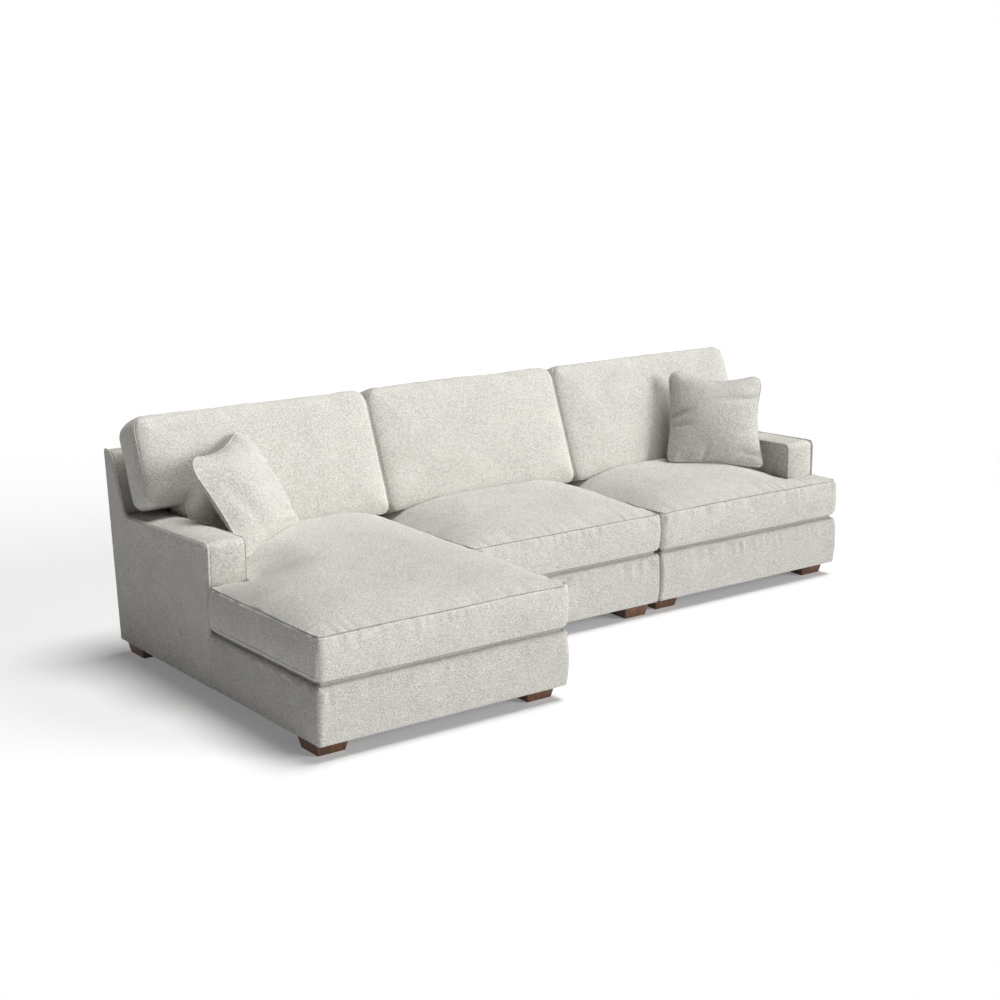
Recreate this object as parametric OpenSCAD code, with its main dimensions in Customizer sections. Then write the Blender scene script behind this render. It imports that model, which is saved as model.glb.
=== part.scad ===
/* [Overall] */
// Depth of the chaise, from the front of its base to the top of its back
chaise_d = 1629; // [1450:1:1800]
// Depth of the two ordinary sections
section_d = 1011; // [960:1:1080]
// Width of each section that has an arm
arm_module_w = 1105; // [900:1:1250]
// Width of the armless section in the middle
middle_w = 1013; // [800:1:1150]
// Gap between two sections that are hooked together
module_gap = 2; // [1:0.5:5]

/* [Base] */
// Clear height between the floor and the base, which is also the height of the feet
base_clear = 56; // [48:1:80]
// Height of the top edge of the padded base border
base_top = 275; // [262:1:290]
// Padding and fabric over the base rails and on the outside panel of an arm
border_t = 18; // [12:1:24]
// Radius of the padded edges of the base
border_r = 12; // [6:1:16]
// Thickness of the hardwood rails
rail_t = 25; // [19:1:32]
// Height of the top of the seat rails
rail_top = 250; // [240:1:256]
// Width of the glued corner blocks beyond the centre of each foot
block_reach = 48; // [40:1:60]
// Height of the corner blocks
block_h = 40; // [30:1:60]
// Height of the stretcher under the middle of the springs
stretcher_h = 70; // [40:1:90]
// Thickness of the cambric dust cover under the base
dust_t = 1.5; // [1:0.5:3]

/* [Feet] */
// Width of a foot at its top
foot_top_w = 138; // [110:1:150]
// Width of a foot at the floor
foot_bottom_w = 113; // [80:1:113]
// Distance of a foot from the side of its section
foot_side_inset = 22; // [12:1:40]
// Distance of the front feet from the front of the base
foot_front_inset = 53; // [20:1:60]
// Distance of the middle section's feet from its sides
middle_foot_side_inset = 38; // [20:1:60]
// Distance of the middle section's front feet from its front
middle_foot_front_inset = 26; // [20:1:60]
// Distance of the rear feet from the back of the base
foot_rear_inset = 10; // [5:1:40]
// Diameter of the hanger bolt that holds a foot
foot_bolt_d = 8; // [6:1:10]
// Depth of the bolt in the foot
foot_bolt_depth = 30; // [20:1:40]
// Length of the bolt inside its corner block
foot_bolt_grip = 32; // [20:1:36]

/* [Springs and deck] */
// Thickness of the sinuous spring wire
wire_d = 4; // [3:0.5:5]
// Distance between two bars of a spring
spring_pitch = 40; // [30:1:60]
// Half the straight length of one bar
spring_bar = 12; // [8:1:20]
// Rise of a spring at the middle of its span
spring_arch = 12; // [6:1:12]
// Distance between neighbouring springs
spring_spacing = 185; // [150:5:260]
// Length of a spring clip along its bar
clip_l = 20; // [14:1:24]
// Wall of a spring clip
clip_t = 2; // [1.5:0.5:3]
// Thickness of the deck pad over the springs
deck_t = 21; // [16:1:24]

/* [Back] */
// Height of the frame's back
back_h = 838; // [790:1:880]
// How far the top of the back overhangs its foot at the rear
rear_overhang = 77; // [40:1:100]
// Lean of the back's inner face from the vertical
back_pitch = 24.4; // [20:0.1:26]
// Depth of the back at its top
back_top_d = 53; // [45:1:70]
// Radius of the back's front top edge
back_edge_r = 34; // [20:1:40]
// Padding and fabric on the inside back, the arms and the outside back
cover_t = 12; // [8:1:14]
// Width of a back webbing strap
strap_w = 50; // [40:1:60]
// Thickness of a back webbing strap
strap_t = 1.6; // [1:0.1:2]
// Distance between the upright straps
strap_spacing = 150; // [100:5:200]
// Thickness of the back posts
post_t = 25; // [19:1:32]

/* [Arms] */
// Width of an arm with its outside panel
arm_w = 172; // [140:1:220]
// Distance of the front of an arm behind the front of an ordinary section
arm_set_back = 161; // [120:1:220]
// Height of the front of an arm
arm_front_h = 618; // [560:1:660]
// Fall of the arm's top line for each millimetre toward the back
arm_fall = 0.037; // [0:0.001:0.06]
// Radius of the top front corner of an arm
arm_corner_r = 22; // [10:1:40]
// Radius of the hollow corner between an arm and the back
arm_hollow_r = 36; // [20:1:60]
// Thickness of the plywood in the arm frames
ply_t = 15; // [12:1:18]

/* [Seat cushions] */
// Height of the lower seam of a seat cushion
seat_bottom = 293; // [291:1:300]
// Height of the boxing between the two seams
seat_boxing = 158; // [120:1:180]
// Rise of the crown above the upper seam
seat_crown = 58; // [40:1:75]
// Radius of the lower edges
seat_foot_r = 16; // [10:1:24]
// Radius of the upright corners
seat_corner_r = 26; // [20:1:40]
// Distance from the top of the crown to the back cushion
crown_to_back = 112; // [80:1:140]
// Thickness of a sewn cushion cover with its wrap
cushion_cover_t = 2.5; // [1.5:0.5:4]

/* [Back cushions] */
// Distance from the front seam at the foot of a back cushion to the rear of the section
back_cushion_set = 417; // [405:1:450]
// Height of a back cushion along its own slope
back_cushion_h = 533; // [470:1:545]
// Height of the notch that clears the arm, along the slope
ear_notch_h = 178; // [175:1:200]
// Distance of an overhanging end from the outer face of its arm
ear_inset = 24; // [20:1:60]
// Boxing between the front and rear seams
back_boxing = 140; // [110:1:150]
// Rise of the front crown
back_crown = 33; // [20:1:40]
// Lean of a back cushion from the vertical
cushion_lean = 21.5; // [20:0.1:23]
// Radius of the corners in front view
back_corner_r = 45; // [30:1:60]

/* [Throw pillows] */
// Side of a throw pillow between its seams
pillow_side = 445; // [380:1:460]
// Thickness of a throw pillow at its middle
pillow_t = 150; // [100:1:160]
// Thickness at the piped edge
pillow_edge = 8; // [6:1:12]
// Radius of a pillow's corners
pillow_corner_r = 22; // [15:1:40]
// Lowest corner of the left pillow: distance from the outer face of the arm
left_pillow_x = 270; // [250:1:300]
// Lowest corner of the left pillow: distance before the foot of the back cushion
left_pillow_y = 267; // [258:1:303]
// Turn, lean and roll angles of the left pillow
left_pillow_angles = [29, 31, 7]; // [5:1:35]
// Lowest corner of the right pillow: distance from the outer face of the arm
right_pillow_x = 264; // [250:1:300]
// Lowest corner of the right pillow: distance before the foot of the back cushion
right_pillow_y = 321; // [293:1:353]
// Turn, lean and roll angles of the right pillow
right_pillow_angles = [30, 28, 5]; // [5:1:35]

/* [Connectors] */
// Thickness of the steel of a connector
steel_t = 3; // [2:0.5:4]
// Width of a connector plate
connector_w = 60; // [40:1:80]
// Length of the flange under the side rail
flange_l = 42; // [36:1:60]
// Width of the upright tongue
tongue_w = 30; // [20:1:40]
// Height of the tongue above its plate
tongue_h = 11; // [8:1:12]
// Distance of the front connectors behind the front of an ordinary section
connector_front = 270; // [220:1:340]
// Distance of the rear connectors before the rear of a section
connector_rear = 281; // [221:1:441]

/* [Fits] */
// Clearance between pieces that rest on each other
fit = 0.3; // [0.2:0.1:0.5]
// Clearance between a seat cushion and the arm or the next section
side_fit = 1.5; // [1:0.5:3]
// Clearance between a back cushion's rear crown and the back, square to the cushion
lean_fit = 1.4; // [1.2:0.1:3]
// Clearance of a connector's tongue in its slot
slot_fit = 1; // [0.5:0.1:2]
// Extra lift of a throw pillow over the crown of its seat
pillow_rest = 0.7; // [0.6:0.1:8]

/* [Hidden] */

$fn = 64;
big_arc_fn = 2160;
wire_fn = 20;
corner_steps = 6;
past = 1;

fabric = [0.80, 0.79, 0.76];
pillow_fabric = [0.84, 0.83, 0.80];
foam = [0.93, 0.90, 0.80];
hardwood = [0.76, 0.62, 0.42];
walnut = [0.30, 0.19, 0.12];
steel = [0.62, 0.63, 0.65];
black_cloth = [0.12, 0.12, 0.13];
strap_cloth = [0.25, 0.25, 0.28];

total_w = 2 * arm_module_w + middle_w + 2 * module_gap;
section_front = chaise_d - section_d;
arm_front = section_front + arm_set_back;
back_seam_y = chaise_d - back_cushion_set;
seat_depth = back_seam_y - section_front;
seat_seam = seat_bottom + seat_boxing;
seat_top = seat_seam + seat_crown;
inner_t = cover_t + fit;
rail_in = border_t + fit;
frame_low = base_clear + dust_t + fit;
cushion_g = cushion_cover_t + fit;

// The two sloping faces of the back, as depths at a height
back_front_top = chaise_d - back_top_d;
function front_y(z) = back_front_top - (back_h - z) * tan(back_pitch);
function rear_y(z) = chaise_d - rear_overhang * (back_h - z) / (back_h - base_clear);

// The arm's top line, and the depth at which it meets the back's inner face
function arm_top(y) = arm_front_h - arm_fall * (y - arm_front);
arm_meets_back = (back_front_top - (back_h - arm_top(0)) * tan(back_pitch))
    / (1 + arm_fall * tan(back_pitch));

base_rear = rear_y(base_clear) - inner_t;
back_low = base_top + fit;
deck_top = seat_bottom - fit;
// A whole number of tenths, at which the rounded corners meet their sides exactly
seat_rear = floor(10 * (front_y(seat_bottom) - 2 * fit)) / 10;
deck_rear = front_y(back_low) - fit;
seat_rail_rear = front_y(rail_top) - fit;

// Radius of an arc that rises by s over the half chord h
function arc_r(h, s) = (h * h + s * s) / (2 * s);
// Height under an arc with its top at (c, top)
function arc_z(a, c, r, top) = top - r + sqrt(r * r - (a - c) * (a - c));

// A crown starts a third of its rise above the seam and swells by the rest
bulge = 2 / 3;
crown_y = back_seam_y - crown_to_back;
rear_crown_r = arc_r(seat_rear - crown_y, seat_crown);
front_crown_r = arc_r(seat_depth - crown_to_back, seat_crown * bulge);
// How far the front arc runs before it goes on as a straight tangent down to the front at f
function front_reach(f) = let (d = crown_y - f)
    d - sqrt(max(0, d * d - 2 * front_crown_r * seat_crown * bulge));
// Height under an arc that goes on as its tangent, at a distance past its top
function crown_z(a, r, reach) = let (arc = min(a, reach), slope = arc / sqrt(r * r - arc * arc))
    arc_z(arc, 0, r, seat_top) - (a - arc) * slope;

// A back cushion stands on the falling rear slope of the seat's crown
rest_y = crown_y + rear_crown_r * sin(cushion_lean);
rest_z = seat_top - rear_crown_r * (1 - cos(cushion_lean)) + 2 * fit;
back_seam_z = rest_z + (rest_y - back_seam_y) * tan(cushion_lean);
half_h = back_cushion_h / 2;
boxing_mid_y = back_seam_y + back_boxing * cos(cushion_lean) + half_h * sin(cushion_lean);
boxing_mid_z = back_seam_z - back_boxing * sin(cushion_lean) + half_h * cos(cushion_lean);
rear_crown = (front_y(boxing_mid_z) - boxing_mid_y)
    / (cos(cushion_lean) + sin(cushion_lean) * tan(back_pitch)) - lean_fit;

// ---- Frames of reference -------------------------------------------------------------

// Sections are drawn with their outer or left side at x = 0 and the chaise's front at y = 0
module on_chaise() translate([-total_w / 2, -chaise_d / 2, 0]) children();
module on_middle() translate([arm_module_w + module_gap - total_w / 2, -chaise_d / 2, 0]) children();
module on_right() translate([total_w / 2, -chaise_d / 2, 0]) mirror([1, 0, 0]) children();

// ---- Shared shapes -------------------------------------------------------------------

module box(lo, hi) translate(lo) cube(hi - lo);
module along_x(x0, x1) translate([x0, 0, 0]) rotate([90, 0, 90]) linear_extrude(x1 - x0) children();
module along_y(y0, y1) translate([0, y1, 0]) rotate([90, 0, 0]) linear_extrude(y1 - y0) children();
module along_z(z0, z1) translate([0, 0, z0]) linear_extrude(z1 - z0) children();

module rounded_rect(lo, hi, r) {
    size = hi - lo;
    translate(lo + [r, 0]) square([size[0] - 2 * r, size[1]]);
    translate(lo + [0, r]) square([size[0], size[1] - 2 * r]);
    for (a = [lo[0] + r, hi[0] - r], b = [lo[1] + r, hi[1] - r]) translate([a, b]) circle(r);
}

function unit(v) = v / norm(v);
// Points of the arc that rounds corner b between its neighbours a and c
function corner(a, b, c, r) = r == 0 ? [b] : let (
        u = unit(a - b),
        v = unit(c - b),
        half = acos(u * v) / 2,
        centre = b + unit(u + v) * r / sin(half),
        from = b + u * r / tan(half) - centre,
        to = b + v * r / tan(half) - centre,
        start = atan2(from[1], from[0]),
        turn = atan2(from[0] * to[1] - from[1] * to[0], from * to))
    [for (k = [0:corner_steps]) let (t = start + turn * k / corner_steps)
        centre + r * [cos(t), sin(t)]];
// An outline of [point, radius] pairs with every corner rounded to its radius
function rounded(outline) = let (n = len(outline)) [
    for (i = [0:n - 1])
        each corner(outline[(i + n - 1) % n][0], outline[i][0], outline[(i + 1) % n][0], outline[i][1])
];

// ---- Base ----------------------------------------------------------------------------

// Centres of a section's four feet: w wide, front at f, with its side and front insets
function foot_centres(w, f, side, front) = [
    for (x = [side + foot_top_w / 2, w - side - foot_top_w / 2],
         y = [f + front + foot_top_w / 2, rear_y(base_clear) - foot_rear_inset - foot_top_w / 2]) [x, y]];
arm_feet = [foot_side_inset, foot_front_inset];
middle_feet_insets = [middle_foot_side_inset, middle_foot_front_inset];

module foot() {
    top = foot_top_w / 2;
    bottom = foot_bottom_w / 2;
    h = base_clear - fit;
    taper = [[-bottom, 0], [bottom, 0], [top, h], [-top, h]];
    difference() {
        intersection() {
            along_x(-top, top) polygon(taper);
            along_y(-top, top) polygon(taper);
        }
        translate([0, 0, h - foot_bolt_depth]) cylinder(d = foot_bolt_d + 2 * fit, h = foot_bolt_depth + past);
    }
}

module feet(w, f, insets) color(walnut)
    for (c = foot_centres(w, f, insets[0], insets[1])) translate(c) foot();

module foot_bolts(w, f, insets) color(steel)
    for (c = foot_centres(w, f, insets[0], insets[1]))
        translate([c[0], c[1], base_clear - foot_bolt_depth])
            cylinder(d = foot_bolt_d, h = foot_bolt_depth + dust_t + foot_bolt_grip);

// Where springs that run side to side start: at a rail of their own beside the arm
spring_rail_x = arm_w + fit;

// Rails, the rail behind the springs, a stretcher, glued corner blocks and, where the
// springs run side to side, the rail that carries them beside the arm
module base_frame(w, f, insets, across) color(hardwood) {
    x0 = rail_in;
    x1 = w - rail_in;
    y0 = f + rail_in;
    y1 = base_rear;
    difference() {
        union() {
            difference() {
                box([x0, y0, frame_low], [x1, y1, rail_top]);
                box([x0 + rail_t, y0 + rail_t, frame_low - past], [x1 - rail_t, y1 - rail_t, rail_top + past]);
            }
            box([x0, seat_rail_rear - rail_t, frame_low + stretcher_h], [x1, seat_rail_rear, rail_top]);
            box([(w - rail_t) / 2, y0, frame_low], [(w + rail_t) / 2, y1, frame_low + stretcher_h]);
            if (across) box([spring_rail_x, y0, frame_low + stretcher_h],
                [spring_rail_x + rail_t, seat_rail_rear, rail_top]);
            for (c = foot_centres(w, f, insets[0], insets[1])) {
                xs = c[0] < w / 2 ? [x0, c[0] + block_reach] : [c[0] - block_reach, x1];
                ys = c[1] < crown_y ? [y0, c[1] + block_reach] : [c[1] - block_reach, y1];
                box([xs[0], ys[0], frame_low], [xs[1], ys[1], frame_low + block_h]);
            }
        }
        for (c = foot_centres(w, f, insets[0], insets[1]))
            translate([c[0], c[1], frame_low - past])
                cylinder(d = foot_bolt_d + 2 * fit, h = block_h + 2 * past);
    }
}

module dust_cover(w, f, insets) color(black_cloth) difference() {
    box([rail_in, f + rail_in, base_clear], [w - rail_in, base_rear, base_clear + dust_t]);
    for (c = foot_centres(w, f, insets[0], insets[1]))
        translate([c[0], c[1], base_clear - past]) cylinder(d = foot_bolt_d + 2 * fit, h = dust_t + 2 * past);
}

// Padded border round the base: open at the rear, and beside the outside panel of an arm
module base_cover(w, f, armed) color(fabric) difference() {
    intersection() {
        along_z(base_clear, base_top) rounded_rect([0, f], [w, base_rear + border_t], border_t);
        along_x(-past, w + past)
            rounded_rect([f, base_clear], [base_rear + 2 * border_t, base_top], border_r);
        along_y(f - past, base_rear) rounded_rect([0, base_clear], [w, base_top], border_r);
    }
    box([border_t, f + border_t, base_clear - past], [w - border_t, base_rear + past, base_top + past]);
    if (armed) box([-past, arm_front - fit, base_clear - past],
        [border_t + past, base_rear + past, base_top + past]);
}

// Serpentine wire along +x: n bars p apart, joined by half rings at alternate ends
module serpentine(n, p) {
    for (i = [0:n - 1]) translate([i * p - wire_d / 2, -spring_bar]) square([wire_d, 2 * spring_bar]);
    for (i = [0:n - 2]) {
        side = i % 2 == 0 ? 1 : -1;
        translate([(i + 0.5) * p, side * spring_bar]) difference() {
            circle((p + wire_d) / 2);
            circle((p - wire_d) / 2);
            translate([-p, side > 0 ? -p : 0]) square([2 * p, p]);
        }
    }
}

// One sinuous spring over about the given span, centred and bowed up on an arc between the
// two clips that hold its end bars. Its pitch is a whole number of tenths
module sinuous_spring(around) {
    n = round(around / spring_pitch) + 1;
    pitch = round(around / (n - 1) * 10) / 10;
    span = (n - 1) * pitch;
    wire_z = rail_top + fit + clip_t + fit;
    r = arc_r(span / 2, spring_arch);
    wide = 4 * spring_pitch;
    translate([-span / 2, 0, 0]) {
        difference() {
            intersection() {
                along_z(rail_top, deck_top) serpentine(n, pitch);
                translate([span / 2, wide / 2, wire_z + spring_arch + wire_d - r])
                    rotate([90, 0, 0]) cylinder(r = r, h = wide, $fn = big_arc_fn);
            }
            translate([span / 2, wide / 2, wire_z + spring_arch - r])
                rotate([90, 0, 0]) cylinder(r = r, h = wide, $fn = big_arc_fn);
        }
        for (x = [0, span]) spring_clip(x, x == 0 ? 1 : -1);
    }
}

// Folded steel clip, open toward the spring
module spring_clip(x, facing) {
    inner = wire_d / 2 + 2 * fit;
    tall = wire_d + 4 * fit;
    z = rail_top + fit;
    translate([x, 0, 0]) along_y(-clip_l / 2, clip_l / 2)
        translate([0, z]) difference() {
            translate([-inner - clip_t, 0]) square([2 * (inner + clip_t), tall + 2 * clip_t]);
            translate([facing > 0 ? -inner : -inner - clip_t - past, clip_t])
                square([2 * inner + clip_t + past, tall]);
        }
}

// Springs run front to back in an ordinary section, and side to side in the long chaise
module springs(w, f, across) color(steel) {
    $fn = wire_fn;
    front_clip_y = f + rail_in + rail_t / 2;
    rear_clip_y = seat_rail_rear - rail_t / 2;
    left_clip_x = spring_rail_x + rail_t / 2;
    right_clip_x = w - rail_in - rail_t / 2;
    mid = [across ? (left_clip_x + right_clip_x) / 2 : w / 2, (front_clip_y + rear_clip_y) / 2];
    room = across ? rear_clip_y - front_clip_y : w;
    count = floor((room - spring_spacing) / spring_spacing);
    for (i = [0:count - 1]) {
        shift = (i - (count - 1) / 2) * spring_spacing;
        if (across) translate(mid + [0, shift]) sinuous_spring(right_clip_x - left_clip_x);
        else translate(mid + [shift, 0]) rotate([0, 0, 90]) sinuous_spring(rear_clip_y - front_clip_y);
    }
}

// Deck pad: a slab over the springs with a skirt that stands on the rails
module deck(w, f, armed) color(foam) difference() {
    skirt = rail_t / 2 - clip_t - wire_d;
    box([rail_in, f + rail_in, rail_top + fit], [w - rail_in, deck_rear, deck_top]);
    box([rail_in + skirt, f + rail_in + skirt, rail_top - past],
        [w - rail_in - skirt, deck_rear + past, deck_top - deck_t]);
    if (armed) box([-past, arm_front - fit, rail_top - past], [arm_w + fit, deck_rear + past, deck_top + past]);
}

// ---- Arms ----------------------------------------------------------------------------

// Side view of an arm, drawn inside its true outline by g
module arm_profile(g, low) {
    y1 = front_y(low) - fit - g;
    ym = arm_meets_back - fit - g;
    polygon(rounded([
        [[arm_front + g, low], 0],
        [[arm_front + g, arm_front_h - g], arm_corner_r - g / 2],
        [[ym, arm_top(ym) - g], 0],
        [[y1, low], 0]
    ]));
}

module arm_cover() color(fabric) difference() {
    along_x(border_t + fit, arm_w) arm_profile(0, back_low);
    along_x(0, arm_w - cover_t) arm_profile(cover_t, back_low - past);
}

// Two plywood sides with lightening holes, closed by boards and standing on the side rail
module arm_frame() color(hardwood) {
    x0 = border_t + 2 * fit;
    x1 = arm_w - inner_t;
    hole_low = [arm_front + inner_t + 4 * ply_t, back_low + 4 * ply_t];
    hole_high = [arm_meets_back - 8 * ply_t, arm_top(arm_meets_back) - inner_t - 4 * ply_t];
    difference() {
        along_x(x0, x1) arm_profile(inner_t, back_low);
        along_x(x0 + ply_t, x1 - ply_t) arm_profile(inner_t + ply_t, back_low + ply_t);
        along_x(0, arm_w) rounded_rect(hole_low, hole_high, 2 * ply_t);
    }
    box([x0, arm_front + inner_t, rail_top + fit], [rail_in + rail_t, front_y(rail_top) - inner_t, back_low]);
}

// Outside panel in one piece, from the base up over the arm and the back
module side_panel() color(fabric) along_x(0, border_t) polygon(rounded([
    [[arm_front, base_clear], 0],
    [[arm_front, arm_front_h], arm_corner_r],
    [[arm_meets_back, arm_top(arm_meets_back)], arm_hollow_r],
    [[back_front_top, back_h], back_edge_r],
    [[chaise_d, back_h], 0],
    [[rear_y(base_clear), base_clear], 0]
]));

// ---- Back ----------------------------------------------------------------------------

// Where the back starts across the section, inside its outside panel if it has one
function back_x0(armed) = armed ? border_t + fit : 0;

module back_cover(w, armed) color(fabric) {
    x0 = back_x0(armed);
    cap_z = back_h - cover_t;
    difference() {
        along_x(x0, w) polygon(rounded([
            [[front_y(back_low), back_low], 0],
            [[back_front_top, back_h], back_edge_r],
            [[chaise_d, back_h], 0],
            [[rear_y(cap_z), cap_z], 0],
            [[rear_y(cap_z) - inner_t, cap_z], 0],
            [[rear_y(back_low) - inner_t, back_low], 0]
        ]));
        along_x(armed ? 0 : cover_t, w - cover_t) polygon([
            [front_y(back_low - past) + cover_t / cos(back_pitch), back_low - past],
            [front_y(cap_z) + cover_t / cos(back_pitch), cap_z],
            [rear_y(cap_z), cap_z],
            [rear_y(back_low - past), back_low - past]
        ]);
    }
}

module outside_back(w, armed) color(fabric) {
    high = back_h - inner_t;
    along_x(back_x0(armed), w) polygon([
        [rear_y(base_clear), base_clear],
        [rear_y(high), high],
        [rear_y(high) - cover_t, high],
        [rear_y(base_clear) - cover_t, base_clear]
    ]);
}

// Depth of the frame's front face, which carries the webbing
function frame_front_y(z) = front_y(z) + (cover_t + 2 * strap_t + 2 * fit) / cos(back_pitch);

// A rail of the back frame as a slice of its wedge: d deep, but no deeper than the wedge
module back_rail(x0, x1, z0, z1, d) along_x(x0, x1) polygon([
    [frame_front_y(z0), z0],
    [frame_front_y(z1), z1],
    [min(frame_front_y(z1) + d, rear_y(z1) - inner_t - fit), z1],
    [min(frame_front_y(z0) + d, rear_y(z0) - inner_t - fit), z0]
]);

back_frame_top = back_h - inner_t - rail_t;
top_rail_z = back_frame_top - 3 * rail_t;
mid_rail_z = (rail_top + top_rail_z) / 2;

// The frame's width: its outer posts stand over the side rails of the base, inside the border
function back_frame_x(w, armed) = [armed ? back_x0(armed) + inner_t : rail_in, w - rail_in];

module back_frame(w, armed) color(hardwood) {
    x0 = back_frame_x(w, armed)[0];
    x1 = back_frame_x(w, armed)[1];
    low = rail_top + fit;
    for (x = [x0, (x0 + x1 - post_t) / 2, x1 - post_t])
        back_rail(x, x + post_t, low, back_frame_top, section_d);
    back_rail(x0, x1, top_rail_z, back_frame_top, section_d);
    back_rail(x0, x1, mid_rail_z, mid_rail_z + 2 * rail_t, rail_t);
    back_rail(x0, x1, back_low, back_low + 3 * rail_t, rail_t);
}

// Upright straps over level straps, tight against the front of the back frame
module back_webbing(w, armed) color(strap_cloth) {
    x0 = back_frame_x(w, armed)[0];
    x1 = back_frame_x(w, armed)[1];
    count = floor((x1 - x0 - 2 * strap_w) / strap_spacing);
    slope = cos(back_pitch);
    foot_z = back_low + rail_t;
    reach = (back_frame_top - foot_z) / slope;
    translate([0, frame_front_y(foot_z), foot_z]) rotate([-back_pitch, 0, 0]) {
        for (z = [0.3, 0.72] * reach)
            box([x0, -fit - strap_t, z], [x1, -fit, z + strap_w]);
        for (i = [0:count - 1]) {
            x = (x0 + x1) / 2 + (i - (count - 1) / 2) * strap_spacing;
            box([x - strap_w / 2, -fit - 2 * strap_t, 0], [x + strap_w / 2, -fit - strap_t, reach]);
        }
    }
}

// ---- Cushions ------------------------------------------------------------------------

// Side view of a crowned slab from a0 to a1 with its top at c, between rounded shoulders.
// The crown is an arc of r0 before c, which runs for the reach and then straight, and an
// arc of r1 past c
module crown_profile(a0, a1, c, r0, r1, reach) {
    low = seat_bottom - past;
    tall = seat_top + past - low;
    e0 = a0 - past;
    e1 = a1 + past;
    bend = c - reach > a0 + past ? c - reach : e0;
    intersection() {
        union() {
            rounded_rect([a0, seat_bottom], [a1, seat_seam], seat_foot_r);
            rounded_rect([a0, seat_seam - seat_crown - past], [a1, seat_top], seat_crown);
        }
        union() {
            intersection() {
                translate([c, seat_top - r0]) circle(r0, $fn = big_arc_fn);
                translate([bend, low]) square([min(c, e1) - bend, tall]);
            }
            if (e1 > c) intersection() {
                translate([c, seat_top - r1]) circle(r1, $fn = big_arc_fn);
                translate([c, low]) square([e1 - c, tall]);
            }
            if (bend > e0) polygon([
                [e0, low], [e0, crown_z(c - e0, r0, reach)], [bend, crown_z(reach, r0, reach)], [bend, low]]);
            translate([e0, low]) square([e1 - e0, seat_seam - low]);
        }
    }
}

// A crowned block over the rectangle lo to hi. Its crown is part of one dome, with its top
// at (cx, crown_y) and an arc of rx across
module crowned_block(lo, hi, cx, rx, f) intersection() {
    along_z(seat_bottom - past, seat_top + past) rounded_rect(lo, hi, seat_corner_r);
    along_x(lo[0] - past, hi[0] + past)
        crown_profile(lo[1], hi[1], crown_y, front_crown_r, rear_crown_r, front_reach(f));
    along_y(lo[1] - past, hi[1] + past) crown_profile(lo[0], hi[0], cx, rx, rx, cx);
}

// A seat cushion: a main block, and in a section with an arm a front block that runs
// before the arm and gives the T shape
module seat_form(w, f, armed) {
    cx = w / 2;
    x0 = armed ? arm_w + side_fit : side_fit;
    x1 = w - side_fit;
    rx = arc_r(cx - side_fit, seat_crown * bulge);
    crowned_block([x0, f], [x1, seat_rear], cx, rx, f);
    if (armed) crowned_block([side_fit, f], [cx, arm_front - side_fit], cx, rx, f);
}

// The foam block inside, g inside the seams, with flat faces under the fibre wrap
module seat_block(w, f, armed, g) along_z(seat_bottom + g, seat_seam - g) {
    x0 = armed ? arm_w + side_fit : side_fit;
    r = seat_corner_r - g;
    rounded_rect([x0 + g, f + g], [w - side_fit - g, seat_rear - g], r);
    if (armed) rounded_rect([side_fit + g, f + g], [w - side_fit - g, arm_front - side_fit - g], r);
}

module seat_core(w, f, armed) color(foam) seat_block(w, f, armed, cushion_g);
module seat_cover(w, f, armed) color(fabric) difference() {
    seat_form(w, f, armed);
    seat_block(w, f, armed, cushion_cover_t);
}

// A lens between two arcs over the length from a0 to a1: t0 and t1 are the seam planes at its
// ends, and the arcs are drawn g inside and run on past the ends
module lens_profile(a0, a1, t0, t1, rise0, rise1, g = 0) {
    r0 = arc_r((a1 - a0) / 2, rise0);
    r1 = arc_r((a1 - a0) / 2, rise1);
    intersection() {
        translate([(a0 + a1) / 2, t0 - rise0 + r0]) circle(r0 - g, $fn = big_arc_fn);
        translate([(a0 + a1) / 2, t1 + rise1 - r1]) circle(r1 - g, $fn = big_arc_fn);
    }
}

// Back cushions are drawn in a frame of their own: x across, y square to the face and z up
// the slope
module on_slope() translate([0, back_seam_y, back_seam_z]) rotate([-cushion_lean, 0, 0]) children();

// Front view of a back cushion, drawn g inside, with the notch that clears the arm
module back_outline(w, armed, g) {
    x0 = armed ? arm_w + side_fit : side_fit;
    high = [w - side_fit - g, back_cushion_h - g];
    rounded_rect([x0 + g, g], high, back_corner_r - g);
    if (armed) rounded_rect([ear_inset + g, ear_notch_h + g], high, back_corner_r - g);
}

module back_cushion_form(w, armed) intersection() {
    x0 = armed ? ear_inset : side_fit;
    x1 = w - side_fit;
    along_y(-2 * back_crown, back_boxing + 2 * rear_crown) back_outline(w, armed, 0);
    along_z(-past, back_cushion_h + past)
        lens_profile(x0, x1, 0, back_boxing, back_crown, rear_crown);
    along_x(x0 - past, x1 + past) mirror([1, -1])
        lens_profile(0, back_cushion_h, 0, back_boxing, back_crown, rear_crown);
}

module back_block(w, armed, g) along_y(g, back_boxing - g) back_outline(w, armed, g);

module back_core(w, armed) color(foam) on_slope() back_block(w, armed, cushion_g);
module back_cushion_cover(w, armed) color(fabric) on_slope() difference() {
    back_cushion_form(w, armed);
    back_block(w, armed, cushion_cover_t);
}

// A knife-edge pillow centred on the origin, standing in the plane of x and z
module pillow_form(g) {
    swell = (pillow_t - pillow_edge) / 2;
    half = pillow_side / 2;
    edge = pillow_edge / 2;
    intersection() {
        along_y(-pillow_t, pillow_t)
            rounded_rect([g - half, g - half], [half - g, half - g], pillow_corner_r - g);
        along_z(-half - past, half + past) lens_profile(-half, half, -edge, edge, swell, swell, g);
        along_x(-half - past, half + past) mirror([1, -1])
            lens_profile(-half, half, -edge, edge, swell, swell, g);
    }
}

module throw_pillow_cover() color(pillow_fabric) difference() {
    pillow_form(0);
    pillow_form(cushion_cover_t);
}
module pillow_insert() color(foam) pillow_form(cushion_g);

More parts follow.
